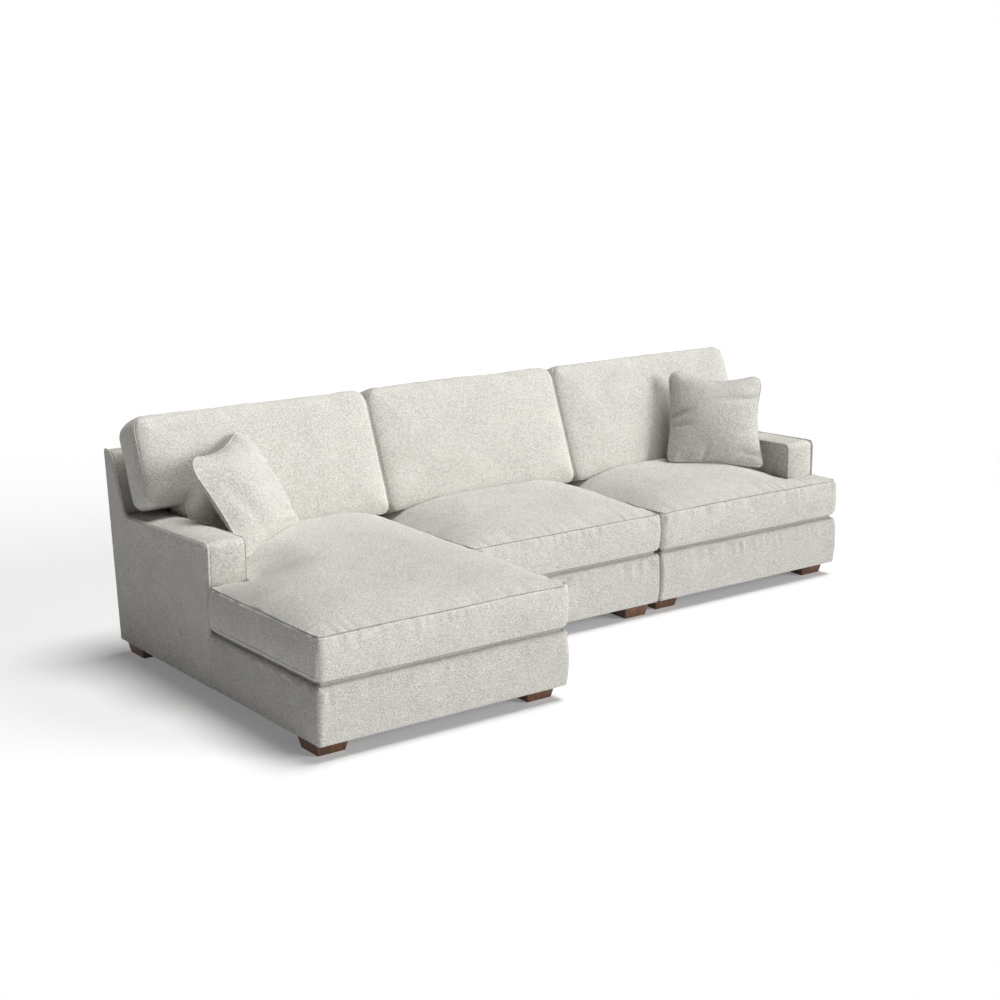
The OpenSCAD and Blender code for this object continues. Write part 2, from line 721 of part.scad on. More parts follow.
// Stands a pillow with its lowest corner on the crown at (x, y), by [turn, lean, roll]
module set_pillow(x, y, f, angles) {
    lean = angles[1];
    roll = angles[2];
    inner = pillow_side / 2 - pillow_corner_r;
    across_r = arc_r(arm_module_w / 2 - side_fit, seat_crown * bulge);
    seat_z = min(crown_z(crown_y - y, front_crown_r, front_reach(f)),
        arc_z(x, arm_module_w / 2, across_r, seat_top));
    rise = cos(lean) * (inner * (sin(roll) + cos(roll)) + pillow_corner_r) + pillow_edge / 2 * sin(lean);
    across = inner * (cos(roll) - sin(roll));
    back = inner * (cos(roll) + sin(roll)) * sin(lean);
    translate([x, y, seat_z + rise + pillow_rest]) rotate([0, 0, angles[0]]) translate([across, back, 0])
        rotate([-lean, 0, 0]) rotate([0, -roll, 0]) children();
}

module on_chaise_seat() on_chaise()
    set_pillow(left_pillow_x, back_seam_y - left_pillow_y, 0, left_pillow_angles) children();
module on_right_seat() on_right()
    set_pillow(right_pillow_x, back_seam_y - right_pillow_y, section_front, right_pillow_angles) children();

// ---- Connectors ----------------------------------------------------------------------

connector_ys = [section_front + connector_front, chaise_d - connector_rear];
flange_z = base_clear - fit - steel_t;
hook_z = flange_z - tongue_h - 2 * fit;
slot_z = hook_z + steel_t + fit;
slot_x = 2 * steel_t;

// A plate stepped down from its flange: x runs from the flange out over the section's side
module stepped_plate(reach, z) along_y(-connector_w / 2, connector_w / 2) polygon([
    [0, flange_z + steel_t], [flange_l, flange_z + steel_t], [flange_l + steel_t, z + steel_t],
    [reach, z + steel_t], [reach, z], [flange_l, z], [flange_l - steel_t, flange_z], [0, flange_z]
]);

// Hooks under the middle section, with tongues that stand up behind each neighbour's side
module hooks() {
    start = rail_in + rail_t;
    reach = start + module_gap + rail_in + slot_x;
    for (y = connector_ys) translate([start, y, 0]) mirror([1, 0, 0]) translate([-flange_l, 0, 0]) {
        stepped_plate(flange_l + reach, hook_z);
        translate([flange_l + reach - steel_t, -tongue_w / 2, hook_z]) cube([steel_t, tongue_w, steel_t + tongue_h]);
    }
}

// Slotted plates under an arm section's inner side, which drop over the hooks' tongues
module slots(w) color(steel) {
    start = w - rail_in - rail_t;
    tongue_x = w - rail_in - slot_x + steel_t;
    for (y = connector_ys) difference() {
        translate([start - flange_l, y, 0]) stepped_plate(flange_l + rail_in + rail_t - steel_t, slot_z);
        translate([tongue_x - 2 * steel_t, y - tongue_w / 2 - slot_fit, slot_z - past])
            cube([3 * steel_t, tongue_w + 2 * slot_fit, steel_t + 2 * past]);
    }
}

// ---- Nodes ---------------------------------------------------------------------------

module chaise_base_frame() on_chaise() base_frame(arm_module_w, 0, arm_feet, true);
module chaise_springs() on_chaise() springs(arm_module_w, 0, true);
module chaise_deck() on_chaise() deck(arm_module_w, 0, true);
module chaise_base_cover() on_chaise() base_cover(arm_module_w, 0, true);
module chaise_dust_cover() on_chaise() dust_cover(arm_module_w, 0, arm_feet);
module chaise_feet() on_chaise() feet(arm_module_w, 0, arm_feet);
module chaise_foot_bolts() on_chaise() foot_bolts(arm_module_w, 0, arm_feet);
module chaise_arm_frame() on_chaise() arm_frame();
module chaise_arm_cover() on_chaise() arm_cover();
module chaise_side_panel() on_chaise() side_panel();
module chaise_back_frame() on_chaise() back_frame(arm_module_w, true);
module chaise_back_webbing() on_chaise() back_webbing(arm_module_w, true);
module chaise_back_cover() on_chaise() back_cover(arm_module_w, true);
module chaise_outside_back() on_chaise() outside_back(arm_module_w, true);
module chaise_connectors() on_chaise() slots(arm_module_w);
module chaise_seat_core() on_chaise() seat_core(arm_module_w, 0, true);
module chaise_seat_cushion() on_chaise() seat_cover(arm_module_w, 0, true);
module chaise_back_core() on_chaise() back_core(arm_module_w, true);
module chaise_back_cushion() on_chaise() back_cushion_cover(arm_module_w, true);

module middle_base_frame() on_middle() base_frame(middle_w, section_front, middle_feet_insets, false);
module middle_springs() on_middle() springs(middle_w, section_front, false);
module middle_deck() on_middle() deck(middle_w, section_front, false);
module middle_base_cover() on_middle() base_cover(middle_w, section_front, false);
module middle_dust_cover() on_middle() dust_cover(middle_w, section_front, middle_feet_insets);
module middle_feet() on_middle() feet(middle_w, section_front, middle_feet_insets);
module middle_foot_bolts() on_middle() foot_bolts(middle_w, section_front, middle_feet_insets);
module middle_back_frame() on_middle() back_frame(middle_w, false);
module middle_back_webbing() on_middle() back_webbing(middle_w, false);
module middle_back_cover() on_middle() back_cover(middle_w, false);
module middle_outside_back() on_middle() outside_back(middle_w, false);
module middle_connectors() on_middle() color(steel) {
    hooks();
    translate([middle_w, 0, 0]) mirror([1, 0, 0]) hooks();
}
module middle_seat_core() on_middle() seat_core(middle_w, section_front, false);
module middle_seat_cushion() on_middle() seat_cover(middle_w, section_front, false);
module middle_back_core() on_middle() back_core(middle_w, false);
module middle_back_cushion() on_middle() back_cushion_cover(middle_w, false);

module right_base_frame() on_right() base_frame(arm_module_w, section_front, arm_feet, false);
module right_springs() on_right() springs(arm_module_w, section_front, false);
module right_deck() on_right() deck(arm_module_w, section_front, true);
module right_base_cover() on_right() base_cover(arm_module_w, section_front, true);
module right_dust_cover() on_right() dust_cover(arm_module_w, section_front, arm_feet);
module right_feet() on_right() feet(arm_module_w, section_front, arm_feet);
module right_foot_bolts() on_right() foot_bolts(arm_module_w, section_front, arm_feet);
module right_arm_frame() on_right() arm_frame();
module right_arm_cover() on_right() arm_cover();
module right_side_panel() on_right() side_panel();
module right_back_frame() on_right() back_frame(arm_module_w, true);
module right_back_webbing() on_right() back_webbing(arm_module_w, true);
module right_back_cover() on_right() back_cover(arm_module_w, true);
module right_outside_back() on_right() outside_back(arm_module_w, true);
module right_connectors() on_right() slots(arm_module_w);
module right_seat_core() on_right() seat_core(arm_module_w, section_front, true);
module right_seat_cushion() on_right() seat_cover(arm_module_w, section_front, true);
module right_back_core() on_right() back_core(arm_module_w, true);
module right_back_cushion() on_right() back_cushion_cover(arm_module_w, true);

module left_throw_pillow() on_chaise_seat() throw_pillow_cover();
module left_pillow_insert() on_chaise_seat() pillow_insert();
module right_throw_pillow() on_right_seat() throw_pillow_cover();
module right_pillow_insert() on_right_seat() pillow_insert();

chaise_base_frame();
chaise_springs();
chaise_deck();
chaise_base_cover();
chaise_dust_cover();
chaise_feet();
chaise_foot_bolts();
chaise_arm_frame();
chaise_arm_cover();
chaise_side_panel();
chaise_back_frame();
chaise_back_webbing();
chaise_back_cover();
chaise_outside_back();
chaise_connectors();
chaise_seat_core();
chaise_seat_cushion();
chaise_back_core();
chaise_back_cushion();
middle_base_frame();
middle_springs();
middle_deck();
middle_base_cover();
middle_dust_cover();
middle_feet();
middle_foot_bolts();
middle_back_frame();
middle_back_webbing();
middle_back_cover();
middle_outside_back();
middle_connectors();
middle_seat_core();
middle_seat_cushion();
middle_back_core();
middle_back_cushion();
right_base_frame();
right_springs();
right_deck();
right_base_cover();
right_dust_cover();
right_feet();
right_foot_bolts();
right_arm_frame();
right_arm_cover();
right_side_panel();
right_back_frame();
right_back_webbing();
right_back_cover();
right_outside_back();
right_connectors();
right_seat_core();
right_seat_cushion();
right_back_core();
right_back_cushion();
left_throw_pillow();
left_pillow_insert();
right_throw_pillow();
right_pillow_insert();
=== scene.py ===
"""Sectional sofa with chaise: the visible pieces, materials, light and camera.

All is in metres in the sofa's frame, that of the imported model: X to the viewer's right, Y to
the back, Z up, with the origin on the floor under the middle.
"""

import math

import bmesh
import bpy
import numpy as np
from mathutils import Matrix, Vector


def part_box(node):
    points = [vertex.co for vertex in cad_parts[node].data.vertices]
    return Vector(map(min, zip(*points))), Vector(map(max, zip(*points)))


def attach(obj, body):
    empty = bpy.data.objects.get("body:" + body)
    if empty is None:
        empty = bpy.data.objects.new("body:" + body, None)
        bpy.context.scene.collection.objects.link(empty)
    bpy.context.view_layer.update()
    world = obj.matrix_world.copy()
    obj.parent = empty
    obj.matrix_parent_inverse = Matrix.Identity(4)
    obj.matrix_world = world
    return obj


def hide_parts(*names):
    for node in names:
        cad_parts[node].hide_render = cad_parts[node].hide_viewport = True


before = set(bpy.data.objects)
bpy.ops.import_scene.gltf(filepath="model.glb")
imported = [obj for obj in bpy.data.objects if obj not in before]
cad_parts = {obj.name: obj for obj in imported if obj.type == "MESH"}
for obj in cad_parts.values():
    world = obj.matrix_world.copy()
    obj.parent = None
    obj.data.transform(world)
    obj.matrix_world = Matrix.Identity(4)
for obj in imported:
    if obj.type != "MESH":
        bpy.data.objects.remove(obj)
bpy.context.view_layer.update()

# ---- Sizes, read from the frame ----


def span(node, axis):
    """Lowest and highest value of a CAD node along an axis."""
    low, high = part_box(node)
    return low[axis], high[axis]


class Section:
    """One of the three sections: x is measured from its outer or left side."""

    def __init__(self, name, armed, mirrored=False):
        self.name, self.body, self.armed = name, name + "_section", armed
        low, high = span(name + "_base_cover", 0)
        self.w, self.front = high - low, span(name + "_base_cover", 1)[0]
        self.x0, self.side = (high, -1) if mirrored else (low, 1)

    def place(self, x, y, z):
        """Points in the sofa's frame."""
        return np.stack([self.x0 + self.side * x, y, z], 1)


CHAISE = Section("chaise", True)
MIDDLE = Section("middle", False)
RIGHT = Section("right", True, mirrored=True)

SECTION_FRONT, BASE_REAR = span("middle_base_cover", 1)
BASE_LOW, BASE_TOP = span("middle_base_cover", 2)
ARM_FRONT = span("chaise_arm_cover", 1)[0]
ARM_TOP = span("chaise_arm_cover", 2)[1]
ARM_W = span("chaise_arm_cover", 0)[1] - CHAISE.x0
BACK_TOP = span("chaise_back_cover", 2)[1]
REAR_TOP_Y = span("chaise_back_cover", 1)[1]
SEAT_LOW = span("middle_seat_cushion", 2)[0]
SEAT_REAR = span("middle_seat_cushion", 1)[1]

# Clearance between a cover and what it meets, and thickness of the padded border
FIT = 0.0003
BORDER = span("chaise_arm_cover", 0)[0] - CHAISE.x0 - FIT

# The frame's slopes: two angles, how far the back's top is set in at the front and hangs
# over at the rear, and the arm's fall per metre
BACK_PITCH = math.radians(24.4)
CUSHION_LEAN = math.radians(21.5)
BACK_TOP_DEPTH = 0.053
REAR_OVERHANG = 0.077
ARM_FALL = 0.037
# From the arm's front to where its top runs into the back, inside and outside
ARM_REACH, OUTSIDE_ARM_REACH = 0.68, 0.687

SEAT_SEAM = SEAT_LOW + 0.158
BACK_SEAM_Y = SECTION_FRONT + 0.594
BACK_SEAM_Z = 0.501
BACK_H = 0.533
BACK_BOXING = 0.140
EAR_NOTCH = 0.178
EAR_INSET = 0.024
OUTSIDE_BACK_T = 0.012

# Tolerances: for places of a plan that are the same, and for what lies along a line
SAME, MARGIN = 1e-4, 0.001


def back_face_y(z):
    """Depth of the back's inner face at a height."""
    return REAR_TOP_Y - BACK_TOP_DEPTH - (BACK_TOP - z) * math.tan(BACK_PITCH)


def rear_face_y(z):
    """Depth of the outside back at a height."""
    return REAR_TOP_Y - REAR_OVERHANG * (BACK_TOP - z) / (BACK_TOP - BASE_LOW)


def arm_top_z(y):
    return ARM_TOP - ARM_FALL * (y - ARM_FRONT)


# ---- Smooth noise ----

LINE_KNOTS, PLANE_KNOTS = 1024, 128


def ease(f):
    return f * f * (3 - 2 * f)


def noise1(s, wavelength, seed):
    """Smooth noise from -1 to 1 along a line."""
    n = LINE_KNOTS
    table = np.random.default_rng(seed).uniform(-1, 1, n)
    u = np.asarray(s) / wavelength
    i = np.floor(u).astype(int)
    f = ease(u - i)
    return table[i % n] * (1 - f) + table[(i + 1) % n] * f


def noise2(x, y, wavelength, seed):
    """Smooth noise from -1 to 1 over a plane."""
    n = PLANE_KNOTS
    table = np.random.default_rng(seed).uniform(-1, 1, (n, n))
    u, v = np.asarray(x) / wavelength, np.asarray(y) / wavelength
    i, j = np.floor(u).astype(int), np.floor(v).astype(int)
    f, g = ease(u - i), ease(v - j)
    i0, i1, j0, j1 = i % n, (i + 1) % n, j % n, (j + 1) % n
    low = table[i0, j0] * (1 - f) + table[i1, j0] * f
    high = table[i0, j1] * (1 - f) + table[i1, j1] * f
    return low * (1 - g) + high * g


def fade(distance, reach):
    """1 on a line, falling off like a bell over the reach."""
    return np.exp(-((distance / reach) ** 2))


# ---- Materials ----


class Nodes:
    """Short hand for building a node tree."""

    def __init__(self, tree):
        self.tree = tree

    def give(self, socket, value):
        """Links a socket to another one, or sets its value."""
        if isinstance(value, bpy.types.NodeSocket):
            self.tree.links.new(value, socket)
        else:
            socket.default_value = value

    def fill(self, node, **inputs):
        """Gives a node its inputs by name, with _ for each space."""
        for key, value in inputs.items():
            self.give(node.inputs[key.replace("_", " ")], value)
        return node

    def add(self, kind, **inputs):
        return self.fill(self.tree.nodes.new(kind), **inputs)

    def math(self, operation, a, b=0.5):
        node = self.add("ShaderNodeMath")
        node.operation = operation
        for socket, value in zip(node.inputs, (a, b)):
            self.give(socket, value)
        return node.outputs[0]

    def combine(self, a, gain_a, b, gain_b):
        """Each of two values times its gain, added up."""
        return self.math("ADD", self.math("MULTIPLY", a, gain_a), self.math("MULTIPLY", b, gain_b))

    def linear(self, base, gain, value):
        return self.math("ADD", base, self.math("MULTIPLY", value, gain))

    def seen(self):
        """1 for rays from the camera or off a gloss, and 0 for those that bring light."""
        path = self.add("ShaderNodeLightPath")
        return self.math("MAXIMUM", path.outputs["Is Camera Ray"], path.outputs["Is Glossy Ray"])


class Surface(Nodes):
    """The nodes of a new material."""

    def __init__(self, name):
        self.mat = bpy.data.materials.new(name)
        self.mat.use_nodes = True
        super().__init__(self.mat.node_tree)
        self.shader = self.tree.nodes["Principled BSDF"]
        self.place = self.add("ShaderNodeTexCoord").outputs["Object"]

    def noise(self, stretch, scale, detail, roughness=0.5):
        """Noise with a number of features per metre, times the stretch along each axis."""
        vector = self.add("ShaderNodeMapping", Vector=self.place, Scale=stretch).outputs[0]
        node = self.add("ShaderNodeTexNoise", Vector=vector, Scale=scale, Detail=detail,
                        Roughness=roughness)
        return node.outputs["Fac"]

    def wave(self, direction, scale, distortion):
        node = self.add("ShaderNodeTexWave", Vector=self.place, Scale=scale,
                        Distortion=distortion)
        node.bands_direction = direction
        return node.outputs["Fac"]

    def ramp(self, factor, stops):
        node = self.add("ShaderNodeValToRGB", Fac=factor)
        elements = node.color_ramp.elements
        while len(elements) < len(stops):
            elements.new(0.5)
        for element, (at, colour) in zip(elements, stops):
            element.position = at
            element.color = (*colour, 1)
        return node.outputs[0]

    def bump(self, height, strength, distance):
        return self.add("ShaderNodeBump", Strength=strength, Distance=distance,
                        Height=height).outputs[0]


def shade(colour, k):
    return tuple(c * k for c in colour)


# Features per metre: threads of upright and of level cloth, weave, and blotches of tone
THREADS, LEVEL_THREADS, WEAVE, BLOTCHES = 640, 620, 150, 9


def linen(name, colour, contrast=0.24):
    """Heathered woven cloth: slubs along both threads, a fine weave and a soft nap."""
    n = Surface(name)
    thread_x = n.noise((0.6, 1, 1), THREADS, 1)
    thread_z = n.noise((1, 0.55, 0.7), THREADS, 1)
    upright = n.combine(thread_x, 0.5, thread_z, 0.5)
    # Level cloth lies with its slubs front to back, and shows less contrast
    level = n.noise((1, 0.3, 1), LEVEL_THREADS, 1)
    level = n.math("ADD", n.math("MULTIPLY", level, 0.62), 0.19)
    facing = n.add("ShaderNodeSeparateXYZ")
    n.fill(facing, Vector=n.add("ShaderNodeNewGeometry").outputs["Normal"])
    share = n.math("POWER", n.math("ABSOLUTE", facing.outputs["Z"]), 4.0)
    slub = n.combine(upright, n.math("SUBTRACT", 1.0, share), level, share)
    tone = n.noise((1, 1, 1), BLOTCHES, 2)
    mixed = n.combine(slub, 0.96, tone, 0.04)
    colours = n.ramp(mixed, (
        (0.38, shade(colour, 1 - 2.9 * contrast)),
        (0.5, colour),
        (0.62, shade(colour, 1 + 2.2 * contrast))))
    weave = n.math("ADD", n.wave("X", WEAVE, 0.6), n.wave("Y", WEAVE, 0.6))
    weave = n.math("ADD", weave, n.wave("Z", WEAVE, 0.6))
    weave = n.combine(weave, 0.33, mixed, 1.2)
    n.fill(n.shader, Base_Color=colours, Roughness=n.linear(0.82, 0.16, slub),
           Normal=n.bump(weave, 0.55, 0.0009), Sheen_Weight=0.25, Sheen_Roughness=0.5,
           Specular_IOR_Level=0.2)
    return n.mat


def walnut(name, dark, light):
    """Stained wood with a fine upright grain under a thin satin coat."""
    n = Surface(name)
    grain = n.noise((1, 1, 0.1), 150, 5, 0.65)
    figure = n.noise((1, 1, 0.25), 22, 3, 0.6)
    mixed = n.combine(grain, 0.55, figure, 0.45)
    stops = ((0.34, shade(dark, 0.7)), (0.47, dark), (0.58, light), (0.7, shade(light, 1.25)))
    n.fill(n.shader, Base_Color=n.ramp(mixed, stops), Roughness=n.linear(0.36, 0.2, grain),
           Normal=n.bump(grain, 0.25, 0.0006), Coat_Weight=0.15, Coat_Roughness=0.35)
    return n.mat


def rough(name, colour, scale, roughness, metal=0.0, stretch=(1, 1, 1)):
    """A plain surface with a little tone, grain and unevenness."""
    n = Surface(name)
    grain = n.noise(stretch, scale, 4, 0.6)
    stops = ((0.3, shade(colour, 0.72)), (0.7, shade(colour, 1.2)))
    n.fill(n.shader, Base_Color=n.ramp(grain, stops), Roughness=n.linear(roughness, 0.15, grain),
           Normal=n.bump(grain, 0.3, 0.0008), Metallic=metal)
    return n.mat


CLOTH = linen("upholstery_linen", (0.60, 0.585, 0.54))
# Lighter and darker copies of the same linen: painted light on backs and arms, and painted shade
# on bases, each tone standing in for how the light falls on them
LIT_BACK_CLOTH = linen("upholstery_linen_backs", (0.645, 0.628, 0.58))
SHADED_BASE_CLOTH = linen("upholstery_linen_bases", (0.55, 0.537, 0.497))
PILLOW_CLOTH = linen("pillow_linen", (0.61, 0.595, 0.55), 0.28)
DECK_CLOTH = linen("deck_cloth", (0.42, 0.41, 0.38))
# A darker copy of the linen for the top seams' cord: painted shade of the seam's groove
SEAM_SHADE_CLOTH = linen("seam_fold", (0.27, 0.262, 0.24))
FOOT_WOOD = walnut("walnut_stain", (0.078, 0.031, 0.013), (0.155, 0.068, 0.030))
FRAME_WOOD = rough("raw_hardwood", (0.55, 0.40, 0.24), 40, 0.6, stretch=(0.15, 1, 1))
STEEL = rough("plain_steel", (0.55, 0.55, 0.56), 120, 0.3, metal=1.0)
DUST_CLOTH = rough("black_cambric", (0.018, 0.018, 0.02), 600, 0.9)
WEBBING = rough("strap_webbing", (0.05, 0.05, 0.055), 700, 0.85)
FOAM = rough("open_foam", (0.80, 0.76, 0.62), 500, 0.9)

# What the carried-over CAD nodes are made of, by the end of their names
CAD_MATERIALS = (
    ("_frame", FRAME_WOOD), ("springs", STEEL), ("foot_bolts", STEEL), ("connectors", STEEL),
    ("dust_cover", DUST_CLOTH), ("webbing", WEBBING), ("_core", FOAM), ("_insert", FOAM))

for node_name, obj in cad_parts.items():
    for ending, material in CAD_MATERIALS:
        if node_name.endswith(ending):
            obj.data.materials.clear()
            obj.data.materials.append(material)

# ---- Padded forms ----

# Distances of the close grid lines from a break, up to a share of the span
FINE = (0.0, 0.004, 0.010, 0.018, 0.029, 0.042)
END_SHARE = 0.42
# Share of its bulge that a strip loses where it lies tight
HELD = 0.94


def lines(breaks, step, ends):
    """Grid lines through the breaks: close together at each break, a step apart between."""
    out = [breaks[0]]
    for a, b in zip(breaks, breaks[1:]):
        near = [e for e in ends if e < END_SHARE * (b - a)]
        count = max(1, round((b - a - 2 * near[-1]) / step))
        inner = np.linspace(a + near[-1], b - near[-1], count + 1)
        out += [a + e for e in near[1:]] + list(inner[1:-1]) + [b - e for e in reversed(near)]
    return np.array(out)


class Form:
    """A closed padded form over a plan: two faces joined by a strip, all of it in quads.

    The plan is a grid over the rectangle of the breaks less the cells that cut() takes. The
    strip has a row at each level, from 0 on the low face to 1 on the high one. radii is one
    radius for all outward corners of the plan, or a function of the corner."""

    def __init__(self, a_breaks, b_breaks, step, levels, radii, cut=None, ends=FINE):
        a, b = lines(a_breaks, step, ends), lines(b_breaks, step, ends)
        ca, cb = (a[:-1] + a[1:]) / 2, (b[:-1] + b[1:]) / 2
        inside = np.ones((len(ca), len(cb)), bool)
        if cut is not None:
            inside = ~cut(*np.meshgrid(ca, cb, indexing="ij"))
        fringed = np.pad(inside, 1)
        self.levels = levels
        used, edges, quads = {}, [], []

        def node(i, j):
            return used.setdefault((i, j), len(used))

        for i, j in zip(*np.nonzero(inside)):
            cell = ((i, j), (i + 1, j), (i + 1, j + 1), (i, j + 1))
            quads.append(tuple(node(*p) for p in cell))
            beside = ((i, j - 1), (i + 1, j), (i, j + 1), (i - 1, j))
            for (m, n), p, q in zip(beside, cell, cell[1:] + cell[:1]):
                if not fringed[m + 1, n + 1]:
                    edges.append((node(*p), node(*q)))
        grid = np.array(list(used))
        self.a, self.b = a[grid[:, 0]], b[grid[:, 1]]
        follow, chain = dict(edges), [edges[0][0]]
        while follow[chain[-1]] != chain[0]:
            chain.append(follow[chain[-1]])
        self.ring = np.array(chain)
        count, size = len(used), len(self.ring)
        middle = [np.arange(size) + 2 * count + k * size for k in range(len(levels))]
        self.rows = [self.ring, *middle, self.ring + count]
        self.faces = [tuple(reversed(q)) for q in quads]
        self.faces += [tuple(v + count for v in q) for q in quads]
        for low, high in zip(self.rows, self.rows[1:]):
            for k in range(size):
                m = (k + 1) % size
                self.faces.append((low[k], low[m], high[m], high[k]))
        self._corners(radii)

    def _ring_points(self):
        return np.stack([self.a, self.b], 1)[self.ring]

    def _corners(self, radii):
        """Finds the outline's straight sides, and rounds its outward corners."""
        pts = self._ring_points()
        ahead, behind = np.roll(pts, -1, 0) - pts, pts - np.roll(pts, 1, 0)
        turn = behind[:, 0] * ahead[:, 1] - behind[:, 1] * ahead[:, 0]
        bent = np.abs(turn) > 1e-12
        outline, convex = pts[bent], turn[bent] > 0
        before, after = np.roll(outline, 1, 0), np.roll(outline, -1, 0)
        self.sides = list(zip(outline, after))
        self.d, self.s = self._side_distances()
        for p, q, o, out in zip(outline, after, before, convex):
            r = radii(p) if callable(radii) else radii
            if not out or r <= 0:
                continue
            inward = np.sign((q - p) + (o - p))
            u = 1 - (self.a - p[0]) * inward[0] / r
            v = 1 - (self.b - p[1]) * inward[1] / r
            near = (u > 0) & (v > 0) & (u <= 1.0001) & (v <= 1.0001)
            uu, vv = u[near], v[near]
            self.a[near] = p[0] + inward[0] * r * (1 - uu * np.sqrt(1 - vv * vv / 2))
            self.b[near] = p[1] + inward[1] * r * (1 - vv * np.sqrt(1 - uu * uu / 2))
        pts = self._ring_points()
        along = np.roll(pts, -1, 0) - np.roll(pts, 1, 0)
        along /= np.linalg.norm(along, axis=1)[:, None]
        self.normal = np.stack([along[:, 1], -along[:, 0]], 1)
        steps = np.linalg.norm(np.roll(pts, -1, 0) - pts, axis=1)
        self.run = np.concatenate([[0], np.cumsum(steps)[:-1]])

    def _side_distances(self):
        """Distance from each side of the outline, and place along it, for each point."""
        dist, place = [], []
        for p, q in self.sides:
            size = np.linalg.norm(q - p)
            e = (q - p) / size
            a, b = self.a - p[0], self.b - p[1]
            s = a * e[0] + b * e[1]
            clamped = np.clip(s, 0, size)
            dist.append(np.hypot(a - clamped * e[0], b - clamped * e[1]))
            place.append(s)
        return np.array(dist), np.array(place)

    def sides_on(self, axis, value):
        """Numbers of the sides that lie on a line of the plan, across an axis."""
        return [k for k, (p, q) in enumerate(self.sides)
                if abs(p[axis] - value) < SAME and abs(q[axis] - value) < SAME]

    def mesh(self, low, high, bulge, to_world, tight=None, tuck=(0.0, 0.0)):
        """Sets the points from the two faces' heights over the plan and the strip's
        bulge(t, run). The strip hardly stands out where tight(a, b) is 1 or more. The low
        and the high edge lie tucked in."""
        faces = [np.stack([self.a, self.b, z(self)], 1) for z in (low, high)]
        low_ring, high_ring = (face[self.ring] for face in faces)
        held = 0 if tight is None else HELD * np.clip(tight(*low_ring[:, :2].T), 0, 1)
        rows = []
        for t in self.levels:
            rows.append(low_ring * (1 - t) + high_ring * t)
            rows[-1][:, :2] += self.normal * (bulge(t, self.run) * (1 - held))[:, None]
        for face, inward in zip(faces, tuck):
            face[self.ring, :2] -= self.normal * inward
        self.points = to_world(*np.concatenate(faces + rows).T)

    def seam(self, row):
        return self.points[self.rows[row]]


def notched(section, a_range, b_range, notch, levels, step, at_top=True, **options):
    """A form over a rectangle. Beside an arm it lacks the corner at the low a that reaches
    to the notch, at the high b or else at the low one."""
    if not section.armed:
        return Form(a_range, b_range, step, levels, **options)

    def cut(a, b):
        return (a < notch[0]) & ((b > notch[1]) if at_top else (b < notch[1]))

    (a0, a1), (b0, b1) = a_range, b_range
    return Form((a0, notch[0], a1), (b0, notch[1], b1), step, levels, cut=cut, **options)


def rounded(radius, *corners):
    """The radius at the given corners of a plan, and none at the others."""
    return lambda p: radius if any(np.abs(p - np.array(c)).max() < SAME for c in corners) else 0


def level_face(z):
    return lambda form: z + 0 * form.a


def flat_strip(_, run):
    return 0 * run


def add_object(name, data):
    obj = bpy.data.objects.new(name, data)
    bpy.context.collection.objects.link(obj)
    return obj


def piece(name, points, faces, body, material, smooth=True, subdivide=1):
    """A mesh object that rides on a body."""
    data = bpy.data.meshes.new(name)
    data.from_pydata([tuple(p) for p in points], [], [tuple(int(i) for i in f) for f in faces])
    data.validate()
    data.materials.append(material)
    obj = add_object(name, data)
    turn_outward(obj)
    data.polygons.foreach_set("use_smooth", [smooth] * len(data.polygons))
    if subdivide:
        modifier = obj.modifiers.new("smooth", "SUBSURF")
        modifier.levels = modifier.render_levels = subdivide
    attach(obj, body)
    return obj


def turn_outward(obj):
    """Flips all faces of a closed mesh whose faces point inward, as a mirrored one's do."""
    work = bmesh.new()
    work.from_mesh(obj.data)
    if work.calc_volume(signed=True) < 0:
        bmesh.ops.reverse_faces(work, faces=work.faces)
    work.to_mesh(obj.data)
    work.free()


def cover(section, label, form, material, node, body="section"):
    """A section's padded piece, in place of a CAD node."""
    body = f"{section.name}_{body}"
    obj = piece(f"{section.name}_{label}", form.points, form.faces, body, material)
    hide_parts(f"{section.name}_{node}")


def ring_faces(count, size, capped=True):
    """Quads between neighbours in a row of rings of points, and a cap at each end."""
    last = (count - 1) * size
    faces = []
    for low in range(0, last, size):
        for m in range(size):
            q = (m + 1) % size
            faces.append((low + m, low + q, low + size + q, low + size + m))
    if capped:
        faces += [tuple(reversed(range(size))), tuple(range(last, last + size))]
    return faces


def welt(name, path, radius, body, material, closed=True, sides=8):
    """A round cord under cloth, along a path of points, a little uneven in thickness."""
    path = np.asarray(path, float)
    n = len(path)
    around = np.roll(path, -1, 0) - np.roll(path, 1, 0)
    along = around if closed else np.gradient(path, axis=0)
    along /= np.maximum(np.linalg.norm(along, axis=1)[:, None], 1e-9)
    points = []
    # Any direction but that of the path
    side = np.cross(along[0], [0.31, 0.22, 0.92])
    for k in range(n):
        side = side - along[k] * np.dot(side, along[k])
        side /= np.linalg.norm(side)
        up = np.cross(along[k], side)
        r = radius * (1 + 0.07 * math.sin(k * 2.1) + 0.05 * math.sin(k * 0.77))
        for m in range(sides):
            angle = 2 * math.pi * m / sides
            points.append(path[k] + r * (math.cos(angle) * side + math.sin(angle) * up))
    faces = ring_faces(n, sides, capped=not closed)
    if closed:
        # The last ring joins the first with the least twist
        last = (n - 1) * sides
        first, final = np.array(points[:sides]), np.array(points[last:])
        gaps = [np.linalg.norm(np.roll(first, -k, 0) - final, axis=1).sum() for k in range(sides)]
        k = int(np.argmin(gaps))
        for m in range(sides):
            q = (m + 1) % sides
            faces.append((last + m, last + q, (q + k) % sides, (m + k) % sides))
    piece(name, points, faces, body, material, subdivide=0)


def rise(d, radius, height):
    """A quarter round: 0 at the seam, the whole height at the radius and beyond."""
    u = 1 - np.clip(d / radius, 0, 1)
    return height * np.sqrt(1 - u * u)


def swell(d, reach):
    """A flatter crown: 0 at the edge and 1 from the reach on."""
    u = 1 - np.clip(d / reach, 0, 1)
    return 1 - u * u


